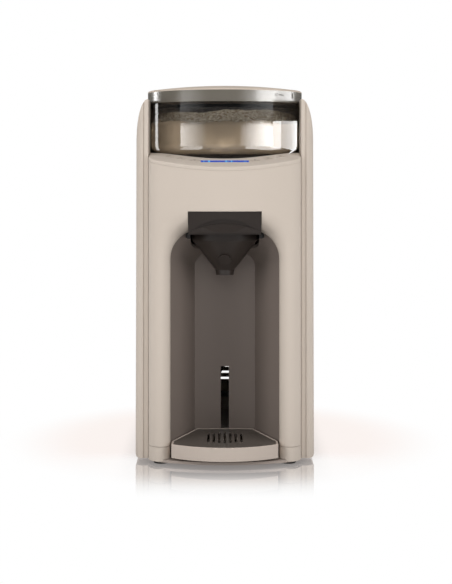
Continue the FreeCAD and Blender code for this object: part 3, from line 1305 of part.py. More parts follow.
def tank_filter():
    """Cage over the valve: a cup with side windows that also holds the spring."""
    cup = rod(0, TANK_Y, TANK_FLOOR, CAGE_TOP, CAGE_R).cut(
        rod(0, TANK_Y, TANK_FLOOR - 1, CAGE_TOP - 1.6, CAGE_R - 1.6))
    for number in range(6):
        window = block(-3, 3, TANK_Y, TANK_Y + CAGE_R + 1, TANK_FLOOR + 3, CAGE_TOP - 3.5)
        cup = cup.cut(spun(window, 0, TANK_Y, 60 * number + 30))
    return cup


def tank_dock():
    """Cup under the shelf that takes the tank's boss, with the lifting pin and outlet nipple."""
    top = SHELF_Z - WALL
    cup = rod(0, TANK_Y, DOCK_FOOT, top, BOSS_R + 4)
    cup = cup.cut(rod(0, TANK_Y, DOCK_FOOT + 2.5, top + 1, BOSS_R + 0.6))
    pin = rod(0, TANK_Y, DOCK_FOOT + 2.5, STEM_FOOT - FIT, 1.4)
    nipple = rod(0, DOCK_PORT_Y, DOCK_FOOT - 8, DOCK_FOOT + 1, NIPPLE_R)
    dock = joined([cup, nipple]).cut(rod(0, DOCK_PORT_Y, DOCK_FOOT - 9, DOCK_FOOT + 3, 1.4))
    return joined([dock, pin])


def water_pump():
    """Small pump on a saddle on the base plate: motor drum, pump head and two nipples."""
    y = TANK_Y
    drum = Part.makeCylinder(PUMP_R, PUMP_L, V(PUMP_X, y, PUMP_Z), V(1, 0, 0))
    drum = softened(drum, 1.5, lambda e: e.BoundBox.XLength < 0.01)
    head = Part.makeCylinder(PUMP_R - 3, 16, V(PUMP_X - 16, y, PUMP_Z), V(1, 0, 0))
    saddle = block(PUMP_X + 5, PUMP_X + PUMP_L - 4, y - 12, y + 12, BASE_TOP, PUMP_Z - 8)
    suction = Part.makeCylinder(NIPPLE_R, 10, V(PUMP_X - 25, y, PUMP_Z), V(1, 0, 0))
    outlet = rod(PUMP_X - 8, y - 4, PUMP_Z + 5, PUMP_Z + PUMP_R + 6, NIPPLE_R)
    return joined([drum, head, saddle, suction, outlet])


def water_heater():
    """Upright flow heater: a cast barrel with cooling ribs, a wall foot and end nipples."""
    x, y, z0, z1 = HEATER_X, HEATER_Y, HEATER_Z, HEATER_Z + HEATER_H
    parts = [softened(rod(x, y, z0, z1, HEATER_R), 3.0, lambda e: e.BoundBox.ZLength < 0.01)]
    for number in range(5):
        z = z0 + 12 + number * (HEATER_H - 28) / 4
        parts.append(rod(x, y, z, z + 3, HEATER_R + 2.2))
    parts.append(block(-INNER_X, x, y - 7, y + 7, z0 + 30, z0 + 62))
    parts.append(rod(x + 6, y, z0 - 8, z0 + 1, NIPPLE_R))
    parts.append(rod(x + 6, y, z1 - 1, z1 + 8, NIPPLE_R))
    return joined(parts)


def inlet_hose():
    """Tank dock to pump."""
    y = DOCK_PORT_Y
    drop_z = (DOCK_FOOT + PUMP_Z) / 2
    return hose([(0, y, DOCK_FOOT - 8.1), (0, y, drop_z + 5), (-14, TANK_Y, drop_z - 17),
                 (-14, TANK_Y, PUMP_Z + 6), (-8, TANK_Y, PUMP_Z), (PUMP_X - 25.1, TANK_Y, PUMP_Z)])


def heater_hose():
    """Pump to heater."""
    x, y = HEATER_X + 6, TANK_Y - 4
    top = PUMP_Z + PUMP_R + 6.1
    foot = HEATER_Z - 8.1
    return hose([(PUMP_X - 8, y, top), (PUMP_X - 8, y, top + 18), (PUMP_X - 20, y - 40, top + 22),
                 (x + 10, HEATER_Y + 12, foot - 30), (x, HEATER_Y, foot - 16), (x, HEATER_Y, foot)])


def nozzle_hose():
    """Heater to water nozzle."""
    x = HEATER_X + 6
    top = HEATER_Z + HEATER_H + 8.1
    y = NOZZLE_Y + 18.1
    z = NOZZLE_PORT_Z
    return hose([(x, HEATER_Y, top), (x, HEATER_Y, top + 12), (-16, y + 18, z - 4), (0, y + 14, z),
                 (0, y, z)])


def water_nozzle():
    """Elbow block on the guide's back shelf, with a spout that points down into the cover."""
    low = NOZZLE_Z
    body = block(-7, 7, NOZZLE_Y - 5, NOZZLE_Y + 12, low, low + NOZZLE_BLOCK_H)
    body = softened(body, 1.5, upright)
    spout = rod(0, NOZZLE_Y, DRAWER_TOP + 0.5, low + 1, 2.6)
    inlet = Part.makeCylinder(NIPPLE_R, 7, V(0, NOZZLE_Y + 11, NOZZLE_PORT_Z), V(0, 1, 0))
    return joined([body, spout, inlet])


# ---- Electronics ----
def main_board():
    """Control board on the right chassis wall: board, transformer, relay and capacitors."""
    x = INNER_X - 6
    y1 = BAY_WALL_Y - 8
    y0 = y1 - BOARD_L
    z0 = BASE_TOP + BOARD_RISE
    z1 = z0 + BOARD_H
    parts = [block(x - 1.6, x, y0, y1, z0, z1)]
    for y in (y0 + 6, y1 - 6):
        for z in (z0 + 6, z1 - 6):
            parts.append(Part.makeCylinder(3, INNER_X - x + 0.2, V(x - 0.2, y, z), V(1, 0, 0)))
    parts.append(block(x - 24, x - 1.5, y0 + 12, y0 + 38, z0 + 12, z0 + 40))
    parts.append(block(x - 10, x - 1.5, y1 - 31, y1 - 9, z1 - 26, z1 - 10))
    for number in range(3):
        start = V(x - 1.5, y1 - 27, z0 + 16 + number * 16)
        parts.append(Part.makeCylinder(6, 18, start, V(-1, 0, 0)))
    return joined(parts)


def display_board():
    """Board under the ledge with the display module and a switch under every key."""
    half = INNER_X - 5.5
    board = block(-half, half, -12, 22, -12.6, -11.0)
    module = block(1 - LENS_HALF, LENS_HALF - 1, -4, 4, -11.1, -PANEL_T - 0.3)
    for shape in (board, module):
        shape.Placement = ledge_frame(0, FRONT + LENS_DEPTH)
    board = board.common(nose_block(WALL + 0.8, FRONT + PANEL_DEPTH, WELL_Z - 50, CROWN_TOP))
    parts = [board.cut(rod(0, JAR_Y, WELL_Z - 50, CROWN_TOP, WELL_R + 1)), module]
    low = -PANEL_T - KEY_DROP
    for angle in KEY_ANGLES:
        parts.append(key_block(angle, -0.4, low - 4.2, low - KEY_TRAVEL - 0.2))
    return joined(parts)


# ---- Export ----
def save(name, shape):
    """Write one piece as parts/NAME.step."""
    shape.exportStep("parts/" + name + ".step")


os.makedirs("parts", exist_ok=True)
casing = nose_casing()
save("front_shell", front_shell(casing))
right_cap = base_cap(casing)
save("base_cap_right", right_cap)
save("base_cap_left", mirrored(right_cap))
right_side = side_panel()
save("side_panel_right", right_side)
save("side_panel_left", mirrored(right_side))
for number, angle in enumerate(KEY_ANGLES, 1):
    save("key_%d" % number, key(angle))
for piece in (
    control_panel, display_lens, top_cover, back_cover, power_inlet, base_plate, case_screws,
    rubber_feet, chassis, niche_liner, funnel_guide, drip_tray, tray_cover, mixing_funnel,
    funnel_cover, powder_container, metering_wheel, stirring_wheel, powder_scraper, lid_band,
    lid_cap, lid_seal, drive_gear, motor_pinion, gear_plate, shaft_bush, gear_motor, motor_screws,
    powder_chute, dock_seal, water_tank, tank_lid, hinge_pins, tank_valve, valve_spring,
    tank_filter, tank_dock, water_pump, water_heater, inlet_hose, heater_hose, nozzle_hose,
    water_nozzle, main_board, display_board,
):
    save(piece.__name__, piece())
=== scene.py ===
import math

import bpy
import numpy as np
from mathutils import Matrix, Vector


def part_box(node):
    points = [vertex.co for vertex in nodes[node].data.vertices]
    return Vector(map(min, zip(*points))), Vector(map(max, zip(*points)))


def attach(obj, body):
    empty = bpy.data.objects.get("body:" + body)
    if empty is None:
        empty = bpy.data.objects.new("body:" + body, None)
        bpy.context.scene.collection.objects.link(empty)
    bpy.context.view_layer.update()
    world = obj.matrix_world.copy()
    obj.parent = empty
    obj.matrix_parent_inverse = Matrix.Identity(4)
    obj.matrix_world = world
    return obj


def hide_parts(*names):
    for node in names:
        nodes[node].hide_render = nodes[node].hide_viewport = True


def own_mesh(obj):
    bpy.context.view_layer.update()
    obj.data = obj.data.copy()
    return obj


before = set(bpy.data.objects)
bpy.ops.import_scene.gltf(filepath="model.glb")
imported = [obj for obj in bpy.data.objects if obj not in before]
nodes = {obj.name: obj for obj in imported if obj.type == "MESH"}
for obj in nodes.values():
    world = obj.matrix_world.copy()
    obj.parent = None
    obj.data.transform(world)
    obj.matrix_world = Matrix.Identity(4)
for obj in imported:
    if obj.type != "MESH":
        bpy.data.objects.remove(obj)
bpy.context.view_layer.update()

# Camera: level, on the machine's own centre line, 1.25 m in front of its face and about as high
# as the control ledge. The shift drops the frame so that the upright edges stay parallel.
FACE_Y = -0.1425
CAMERA_DISTANCE = 1.25
CAMERA_HEIGHT = 0.2756
PICTURE_WIDTH, PICTURE_HEIGHT = 452, 584
HORIZON_ROW, CENTRE_COLUMN = 170.0, 224.8

camera_data = bpy.data.cameras.new("camera")
camera_data.lens = 83.5
camera_data.sensor_width = 36.0
camera_data.shift_x = (PICTURE_WIDTH / 2 - CENTRE_COLUMN) / PICTURE_HEIGHT
camera_data.shift_y = (HORIZON_ROW - PICTURE_HEIGHT / 2) / PICTURE_HEIGHT
camera_data.clip_start, camera_data.clip_end = 0.05, 50.0
camera = bpy.data.objects.new("camera", camera_data)
camera.location = (0.0, FACE_Y - CAMERA_DISTANCE, CAMERA_HEIGHT)
camera.rotation_euler = (math.pi / 2, 0.0, 0.0)
bpy.context.scene.collection.objects.link(camera)
bpy.context.scene.camera = camera
bpy.context.scene.view_settings.view_transform = "Standard"

# World: white paper for the eye and through clear plastic, a plain fill for the diffuse light,
# and a dim room in gloss, so that gloss shows the soft boxes.
AMBIENT, ROOM_GLOSS = 0.26, 0.15

world = bpy.data.worlds.new("studio")
bpy.context.scene.world = world
world.use_nodes = True
room = world.node_tree
room.nodes.clear()
paths = room.nodes.new("ShaderNodeLightPath")


def blended(tree, operation, first, second):
    """Math node on two outputs, or on an output and a plain number."""
    node = tree.nodes.new("ShaderNodeMath")
    node.operation = operation
    for socket, value in zip(node.inputs, (first, second)):
        if isinstance(value, (int, float)):
            socket.default_value = value
        else:
            tree.links.new(value, socket)
    return node.outputs[0]


seen = blended(room, "MAXIMUM", paths.outputs["Is Camera Ray"], paths.outputs["Is Transmission Ray"])
shine = blended(room, "MULTIPLY", paths.outputs["Is Glossy Ray"], ROOM_GLOSS)
fill = blended(room, "MULTIPLY", paths.outputs["Is Diffuse Ray"], AMBIENT)
air = room.nodes.new("ShaderNodeBackground")
room.links.new(blended(room, "MAXIMUM", blended(room, "MAXIMUM", seen, shine), fill),
               air.inputs["Strength"])
air.inputs["Color"].default_value = (1.0, 1.0, 1.0, 1.0)
out = room.nodes.new("ShaderNodeOutputWorld")
room.links.new(air.outputs[0], out.inputs["Surface"])

# Lamps: one wide soft box over the camera, one at each side, one above and one behind give the
# even light. Boxes that show only in gloss draw the bright bands on the round container and on
# the lid's ring; some of them fade towards one side.
LAMP_AIM = (0.0, -0.05, 0.20)


def soft_box(name, width, height, watts):
    """Rectangular lamp that neither the camera nor a ray through clear plastic sees."""
    data = bpy.data.lights.new(name, "AREA")
    data.shape = "RECTANGLE"
    data.size, data.size_y = width, height
    data.energy = watts
    box = bpy.data.objects.new(name, data)
    box.visible_camera = box.visible_transmission = False
    bpy.context.scene.collection.objects.link(box)
    return box


def lamp(name, azimuth, elevation, distance, width, height, watts, only_gloss=False, falls=0):
    """A soft box on a sphere round the machine, turned to its middle; azimuth 0 is in front.
    falls is 1 or -1 where its strength falls to nothing towards one side."""
    box = soft_box(name, width, height, watts)
    a, e = math.radians(azimuth), math.radians(elevation)
    away = np.array([math.sin(a) * math.cos(e), -math.cos(a) * math.cos(e), math.sin(e)])
    box.location = np.array(LAMP_AIM) + distance * away
    aim = box.location.copy()
    aim.x, aim.y, aim.z = away
    box.rotation_euler = aim.to_track_quat("Z", "Y").to_euler()
    box.visible_diffuse = not only_gloss
    box.visible_glossy = only_gloss
    if falls:
        box.data.use_nodes = True
        tree = box.data.node_tree
        spot = tree.nodes.new("ShaderNodeNewGeometry")
        across = tree.nodes.new("ShaderNodeSeparateXYZ")
        tree.links.new(spot.outputs["Parametric"], across.inputs[0])
        strength = tree.nodes.new("ShaderNodeMapRange")
        for socket, value in (("From Min", 0.5 - 0.5 * falls), ("From Max", 0.5 + 0.5 * falls),
                              ("To Min", 0.0), ("To Max", 2.0)):
            strength.inputs[socket].default_value = value
        tree.links.new(across.outputs["X"], strength.inputs["Value"])
        tree.links.new(strength.outputs["Result"], tree.nodes["Emission"].inputs["Strength"])
    return box


lamp("soft_front", 0, 15, 1.9, 1.3, 0.9, 7.0)
lamp("soft_left", -55, 14, 1.8, 0.9, 1.2, 12.0)
lamp("soft_right", 55, 14, 1.8, 0.9, 1.2, 12.0)
lamp("soft_top", 0, 74, 1.5, 1.0, 0.8, 4.2)
lamp("soft_back", 180, 35, 1.8, 1.4, 1.0, 12.0)
bright = [lamp("gloss_right", 52, -17, 1.6, 2.05, 1.35, 130.0, only_gloss=True, falls=1),
          lamp("gloss_left", -47, -17, 1.6, 1.30, 1.35, 27.0, only_gloss=True, falls=-1),
          lamp("gloss_right_above", 52, 17.6, 1.68, 2.05, 0.64, 5.0, only_gloss=True, falls=1),
          lamp("gloss_left_above", -47, 17.6, 1.68, 1.30, 0.64, 2.0, only_gloss=True, falls=-1),
          lamp("strip_left", -123, -8, 1.6, 0.24, 1.2, 13.0, only_gloss=True)]
ring_only = lamp("ring_right", 84, 6, 1.6, 2.35, 1.0, 72.0, only_gloss=True)

# Card: a low white strip well behind the machine that shows only in gloss, so that the floor's
# shine stays white round the mirrored machine.
CARD_Y, CARD_HALF, CARD_TOP = 0.55, 2.5, 0.225

card_mesh = bpy.data.meshes.new("card")
card_mesh.from_pydata([(-CARD_HALF, CARD_Y, 0), (CARD_HALF, CARD_Y, 0),
                       (CARD_HALF, CARD_Y, CARD_TOP), (-CARD_HALF, CARD_Y, CARD_TOP)],
                      [], [(0, 1, 2, 3)])
card = bpy.data.objects.new("card", card_mesh)
bpy.context.scene.collection.objects.link(card)
card.visible_camera = card.visible_diffuse = card.visible_transmission = False
card.visible_shadow = False
card_white = bpy.data.materials.new("card_white")
card_white.use_nodes = True
tree = card_white.node_tree
tree.nodes.clear()
glow = tree.nodes.new("ShaderNodeEmission")
out = tree.nodes.new("ShaderNodeOutputMaterial")
tree.links.new(glow.outputs[0], out.inputs["Surface"])
card_mesh.materials.append(card_white)

# Floor: a white polished sheet. Its shine shows only close in front of the machine and fades out, and
# it is white to the eye, less the shadow and the shine near the machine's foot.
# Close to the machine its white glow is tinted beige: painted bounce light off the machine.
FLOOR_HALF = 6.0
SHINE_FULL, SHINE_GONE, SHINE = 0.140, 0.258, 0.62      # in front of the machine
SHINE_UNDER_FULL, SHINE_UNDER_GONE = -0.115, -0.060     # under it, along y
SHINE_SIDE_FULL, SHINE_SIDE_GONE = 0.100, 0.180         # beside it, along x
SHADE_FULL, SHADE_GONE, SHADE = 0.14, 0.23, 0.42        # round the machine's middle
SHADE_SIDE_FULL, SHADE_SIDE_FAINT = 0.082, 0.105        # beside it, along x
SHADE_FAINT = 0.2                                       # share of the shade that is left there
# painted bounce light: the sheet's glow near the machine is tinted to the machine's beige
PAINTED_BOUNCE_TINT = (1.0, 0.93, 0.90, 1.0)      # the machine's colour on the sheet close to it

floor_mesh = bpy.data.meshes.new("floor")
floor_mesh.from_pydata([(-FLOOR_HALF, -FLOOR_HALF, 0), (FLOOR_HALF, -FLOOR_HALF, 0),
                        (FLOOR_HALF, FLOOR_HALF, 0), (-FLOOR_HALF, FLOOR_HALF, 0)],
                       [], [(0, 1, 2, 3)])
floor = bpy.data.objects.new("floor", floor_mesh)
bpy.context.scene.collection.objects.link(floor)
sheet = bpy.data.materials.new("white_sheet")
sheet.use_nodes = True
tree = sheet.node_tree
tree.nodes.clear()
place = tree.nodes.new("ShaderNodeTexCoord")
apart = tree.nodes.new("ShaderNodeSeparateXYZ")
tree.links.new(place.outputs["Object"], apart.inputs[0])


def ramp(tree, value, start, end, low, high):
    """Smooth step of an output from low to high between two of its values."""
    node = tree.nodes.new("ShaderNodeMapRange")
    node.interpolation_type = "SMOOTHSTEP"
    for socket, number in (("From Min", start), ("From Max", end), ("To Min", low),
                           ("To Max", high)):
        node.inputs[socket].default_value = number
    tree.links.new(value, node.inputs["Value"])
    return node.outputs["Result"]


eye = tree.nodes.new("ShaderNodeLightPath")
glow = tree.nodes.new("ShaderNodeEmission")
watched = blended(tree, "MAXIMUM", eye.outputs["Is Camera Ray"], eye.outputs["Is Transmission Ray"])
tree.links.new(watched, glow.inputs["Strength"])
matt = tree.nodes.new("ShaderNodeBsdfDiffuse")
matt.inputs["Color"].default_value = (0.8, 0.8, 0.8, 1.0)
reach = tree.nodes.new("ShaderNodeVectorMath")
reach.operation = "LENGTH"
tree.links.new(place.outputs["Object"], reach.inputs[0])
shaded = ramp(tree, reach.outputs["Value"], SHADE_FULL, SHADE_GONE, SHADE, 0.0)
aside = blended(tree, "ABSOLUTE", apart.outputs["X"], 0.0)
side_share = ramp(tree, aside, SHADE_SIDE_FULL, SHADE_SIDE_FAINT, 1.0, SHADE_FAINT)
shaded = blended(tree, "MULTIPLY", shaded, side_share)
# painted bounce light: the glow's colour runs from the beige tint near the machine to white
tint = tree.nodes.new("ShaderNodeMix")
tint.data_type = "RGBA"
tint.inputs["A"].default_value = PAINTED_BOUNCE_TINT
tint.inputs["B"].default_value = (1.0, 1.0, 1.0, 1.0)
tree.links.new(ramp(tree, reach.outputs["Value"], SHADE_FULL, SHADE_GONE, 0.0, 1.0),
               tint.inputs["Factor"])
tree.links.new(tint.outputs["Result"], glow.inputs["Color"])
shaded = blended(tree, "MAXIMUM", shaded, blended(tree, "SUBTRACT", 1.0, watched))
white = tree.nodes.new("ShaderNodeMixShader")
tree.links.new(shaded, white.inputs["Fac"])
tree.links.new(glow.outputs[0], white.inputs[1])
tree.links.new(matt.outputs[0], white.inputs[2])
mirror = tree.nodes.new("ShaderNodeBsdfGlossy")
mirror.inputs["Color"].default_value = (1.0, 1.0, 1.0, 1.0)
mirror.inputs["Roughness"].default_value = 0.05
polished = tree.nodes.new("ShaderNodeMixShader")
before = ramp(tree, apart.outputs["Y"], -SHINE_GONE, -SHINE_FULL, 0.0, SHINE)
under = ramp(tree, apart.outputs["Y"], SHINE_UNDER_FULL, SHINE_UNDER_GONE, 1.0, 0.0)
beside = ramp(tree, aside, SHINE_SIDE_FULL, SHINE_SIDE_GONE, 1.0, 0.0)
tree.links.new(blended(tree, "MULTIPLY", blended(tree, "MULTIPLY", before, under), beside),
               polished.inputs["Fac"])
tree.links.new(white.outputs[0], polished.inputs[1])
tree.links.new(mirror.outputs[0], polished.inputs[2])
below = tree.nodes.new("ShaderNodeNewGeometry")
clear = tree.nodes.new("ShaderNodeBsdfTransparent")
one_sided = tree.nodes.new("ShaderNodeMixShader")
tree.links.new(below.outputs["Backfacing"], one_sided.inputs["Fac"])
tree.links.new(polished.outputs[0], one_sided.inputs[1])
tree.links.new(clear.outputs[0], one_sided.inputs[2])
out = tree.nodes.new("ShaderNodeOutputMaterial")
tree.links.new(one_sided.outputs[0], out.inputs["Surface"])
floor_mesh.materials.append(sheet)

# Bright boxes and strips for the polished container and the lid's ring alone: each lamp here is
# limited to them. The strips stand in the gap beside the container and lie on the ledge.
container_low, container_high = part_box("powder_container")
AXIS_Y = (container_low[1] + container_high[1]) / 2
panel_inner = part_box("side_panel_right")[0][0]
EDGE_X = panel_inner - 0.0002           # a strip's plane, a hair off the side panel's inner face
POWDER_LINE = 0.0385                    # powder's height on the container's front
LEDGE_DEPTH, LEDGE_GAP, LEDGE_LIFT = 0.020, 0.001, 0.0006   # strips on the ledge


def shines_on(box, *names):
    """Limits a lamp to the named nodes."""
    box.light_linking.receiver_collection = bpy.data.collections.new(box.name)
    for name in names:
        box.light_linking.receiver_collection.objects.link(nodes[name])


def even_power(radiance, width, height):
    """Power in watts of a flat lamp of one radiance: pi times the radiance times its area."""
    return radiance * math.pi * width * height


def edge_strip(name, side, start, end, top, radiance):
    """Narrow upright lamp between the container and a side panel, on the plane x = side, from
    y start to end and up to z = top; it faces the container and shows only in its gloss."""
    width, height = end - start, top - container_low[2]
    box = soft_box(name, width, height, even_power(radiance, width, height))
    box.location = (side, (start + end) / 2, (container_low[2] + top) / 2)
    box.rotation_euler = (math.pi / 2, 0.0, math.copysign(math.pi / 2, side))
    box.visible_diffuse = False
    shines_on(box, "powder_container")
    return box


def ledge_strip(name, azimuth, width, radiance):
    """Low lamp that lies a hair over the control ledge in front of the container and faces up;
    it carries the bright bands on round the container's lower edge."""
    box = soft_box(name, width, LEDGE_DEPTH, even_power(radiance, width, LEDGE_DEPTH))
    turn, away = math.radians(azimuth), container_high[0] + LEDGE_GAP + LEDGE_DEPTH / 2
    box.location = (away * math.sin(turn), AXIS_Y - away * math.cos(turn),
                    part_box("control_panel")[1][2] + LEDGE_LIFT)
    box.rotation_euler = (math.pi, 0.0, turn)
    box.visible_diffuse = False
    shines_on(box, "powder_container")


for box in bright:
    shines_on(box, "powder_container", "lid_band")
shines_on(ring_only, "lid_band")
ledge_strip("ledge_right", 34, 0.050, 9.0)
ledge_strip("ledge_left", -27, 0.026, 6.0)
edge_strip("edge_white", EDGE_X, -0.1128, -0.0985, container_low[2] + POWDER_LINE, 14.0)
edge_strip("edge_right", EDGE_X, -0.0985, -0.0725, container_low[2] + POWDER_LINE, 6.4)
edge_strip("edge_left", -EDGE_X, -0.0815, -0.0772, container_high[2], 4.6)

# Body shell: the nose with its columns and arch, the side panels, the top and back covers, the
# column caps and the tank's lid. Injection-moulded ABS in a satin champagne beige, snapped and
# screwed together.
BEIGE = (206, 194, 182)
SHELL_NODES = ["front_shell", "side_panel_left", "side_panel_right", "top_cover", "back_cover",
               "base_cap_left", "base_cap_right", "tank_lid"]
SHEEN_SWING = 0.10                      # how much the skin's fine noise adds to the roughness


def linear(red, green, blue):
    """A colour written in 0 to 255 steps, as the scene's linear light; alpha is 1."""
    part = np.array([red, green, blue]) / 255
    part = np.where(part <= 0.04045, part / 12.92, ((part + 0.055) / 1.055) ** 2.4)
    return (*part.tolist(), 1.0)


def moulded_skin_group():
    """Node group for moulded plastic. A fine noise lifts and lowers the skin by Depth at Grain
    cells a metre; a broad noise shifts the colour by Tone and the roughness a little."""
    group = bpy.data.node_groups.new("moulded_skin", "ShaderNodeTree")
    socket = group.interface.new_socket
    socket("Colour", in_out="INPUT", socket_type="NodeSocketColor")
    for name in ("Tone", "Roughness", "Grain", "Depth"):
        socket(name, in_out="INPUT", socket_type="NodeSocketFloat")
    socket("Colour", in_out="OUTPUT", socket_type="NodeSocketColor")
    socket("Roughness", in_out="OUTPUT", socket_type="NodeSocketFloat")
    socket("Normal", in_out="OUTPUT", socket_type="NodeSocketVector")
    new, link = group.nodes.new, group.links.new
    given, place, result = new("NodeGroupInput"), new("ShaderNodeTexCoord"), new("NodeGroupOutput")
    fine, broad = new("ShaderNodeTexNoise"), new("ShaderNodeTexNoise")
    fine.inputs["Detail"].default_value = 2.0
    broad.inputs["Scale"].default_value = 14.0
    broad.inputs["Detail"].default_value = 4.0
    for noise in (fine, broad):
        link(place.outputs["Object"], noise.inputs["Vector"])
    link(given.outputs["Grain"], fine.inputs["Scale"])
    level = blended(group, "SUBTRACT", 1.0, blended(group, "MULTIPLY", given.outputs["Tone"], 0.5))
    swing = blended(group, "MULTIPLY", broad.outputs["Fac"], given.outputs["Tone"])
    shade = new("ShaderNodeVectorMath")
    shade.operation = "SCALE"
    link(given.outputs["Colour"], shade.inputs[0])
    link(blended(group, "ADD", swing, level), shade.inputs["Scale"])
    link(shade.outputs[0], result.inputs["Colour"])
    sheen = blended(group, "MULTIPLY", fine.outputs["Fac"], SHEEN_SWING)
    link(blended(group, "ADD", sheen, given.outputs["Roughness"]), result.inputs["Roughness"])
    relief = new("ShaderNodeBump")
    link(given.outputs["Depth"], relief.inputs["Distance"])
    link(fine.outputs["Fac"], relief.inputs["Height"])
    link(relief.outputs["Normal"], result.inputs["Normal"])
    return group


moulded_skin = moulded_skin_group()


def moulded(name, colour, roughness=0.42, tone=0.04, grain=1500.0, depth=0.00003, **plain):
    """Moulded plastic: the skin group feeds colour, roughness and normal. It lifts the roughness
    by up to SHEEN_SWING, so half of that is taken off first. plain holds the shader's own
    sockets by name, with spaces written as underscores."""
    material = bpy.data.materials.new(name)
    material.use_nodes = True
    tree = material.node_tree
    shader = tree.nodes["Principled BSDF"]
    skin = tree.nodes.new("ShaderNodeGroup")
    skin.node_tree = moulded_skin
    skin.inputs["Colour"].default_value = linear(*colour)
    for socket, value in (("Tone", tone), ("Roughness", roughness - SHEEN_SWING / 2), ("Grain", grain),
                          ("Depth", depth)):
        skin.inputs[socket].default_value = value
    tree.links.new(skin.outputs["Colour"], shader.inputs["Base Color"])
    tree.links.new(skin.outputs["Roughness"], shader.inputs["Roughness"])
    tree.links.new(skin.outputs["Normal"], shader.inputs["Normal"])
    for socket, value in plain.items():
        shader.inputs[socket.replace("_", " ")].default_value = value
    return material


def dress(names, material):
    """Gives each named node this one material."""
    for name in names:
        nodes[name].data.materials.clear()
        nodes[name].data.materials.append(material)


shell_plastic = moulded("satin_beige", BEIGE, roughness=0.5, Specular_IOR_Level=0.15)
dress(SHELL_NODES, shell_plastic)

# Control ledge: the crescent in front of the container, in one moulding with the container's
# well, and six push keys standing in it. Each key is pad-printed with one plain sign: start,
# less, more, drop, ring and square.
KEY_INK = (128, 114, 103)
CROWN_R, CREST_BACK = 0.130, 0.058      # crowned ledge: radius and crest behind the face
KEY_RISE = 0.00035                      # key tops above the ledge
ON_TOP = 0.00008                        # a point this near to a key's top surface is on it
INK_WIDTH, INK_LIFT = 0.00042, 0.00006

dress(["control_panel"], moulded("ledge_beige", BEIGE, roughness=0.46, Specular_IOR_Level=0.2))
key_plastic = moulded("key_beige", (198, 186, 174), roughness=0.38)
key_ink = moulded("key_ink", KEY_INK, roughness=0.6)
CROWN_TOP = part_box("control_panel")[1][2]


def solid(name, vertices, faces, material, body):
    """Closed mesh from vertices and faces of four, turned so that it encloses a positive
    volume, with one material, riding on a body."""
    vertices, faces = np.asarray(vertices, float), np.asarray(faces)
    a, b, c, d = (vertices[faces[:, k]] for k in range(4))
    volume = np.einsum("ij,ij->i", a, np.cross(b, c)) + np.einsum("ij,ij->i", a, np.cross(c, d))
    if volume.sum() < 0:
        faces = faces[:, ::-1]
    mesh = bpy.data.meshes.new(name)
    mesh.from_pydata(vertices.tolist(), [], faces.tolist())
    mesh.validate()
    mesh.materials.append(material)
    piece = bpy.data.objects.new(name, mesh)
    bpy.context.scene.collection.objects.link(piece)
    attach(piece, body)
    return piece


def ribbon(path, place, width, lift):
    """Raised line of ink along a path of (u, v) pairs; place gives points and outward normals
    for them. The cross-section is a rectangle, width across the path and lift high; the path is
    a loop where its last pair is its first. Returns vertices and faces."""
    path = np.asarray(path, float)
    loop = np.allclose(path[0], path[-1])
    if loop:
        path = path[:-1]
        along = np.roll(path, -1, 0) - np.roll(path, 1, 0)
    else:
        along = np.gradient(path, axis=0)
    along /= np.linalg.norm(along, axis=1)[:, None]
    side = np.stack([-along[:, 1], along[:, 0]], 1) * width / 2
    corners = []
    for sign, height in ((-1, -lift), (1, -lift), (1, lift), (-1, lift)):
        point, normal = place(path + sign * side)
        corners.append(point + normal * height)
    count = len(path)
    vertices = np.stack(corners, 1).reshape(-1, 3)
    rows = np.arange(count if loop else count - 1)
    here, there = rows * 4, (rows + 1) % count * 4
    faces = [np.stack([here + k, here + (k + 1) % 4, there + (k + 1) % 4, there + k], 1)
             for k in range(4)]
    if not loop:
        end = (count - 1) * 4
        faces.append(np.array([[3, 2, 1, 0], [end, end + 1, end + 2, end + 3]]))
    return vertices, np.concatenate(faces)


def inked(name, ribbons, material, body):
    """One piece from several ribbons."""
    start, vertices, faces = 0, [], []
    for part, quads in ribbons:
        vertices.append(part)
        faces.append(quads + start)
        start += len(part)
    return solid(name, np.concatenate(vertices), np.concatenate(faces), material, body)


def arc(radius, start, end, count=25, x=0.0, y=0.0):
    """Points on a circle about x, y between two angles in degrees."""
    angle = np.radians(np.linspace(start, end, count))
    return np.stack([x + radius * np.cos(angle), y + radius * np.sin(angle)], 1)


def key_middle(key):
    """Middle of a key's top face, in x and y: of the key's points, those that lie on the crowned
    surface one rise above the ledge."""
    points = np.empty(len(key.data.vertices) * 3)
    key.data.vertices.foreach_get("co", points)
    points = points.reshape(-1, 3)
    lean = np.minimum(0.0, points[:, 1] - FACE_Y - CREST_BACK)
    far = np.hypot(lean, points[:, 2] - CROWN_TOP + CROWN_R) - CROWN_R - KEY_RISE
    top = points[np.abs(far) < ON_TOP]
    return (top.min(0) + top.max(0))[:2] / 2


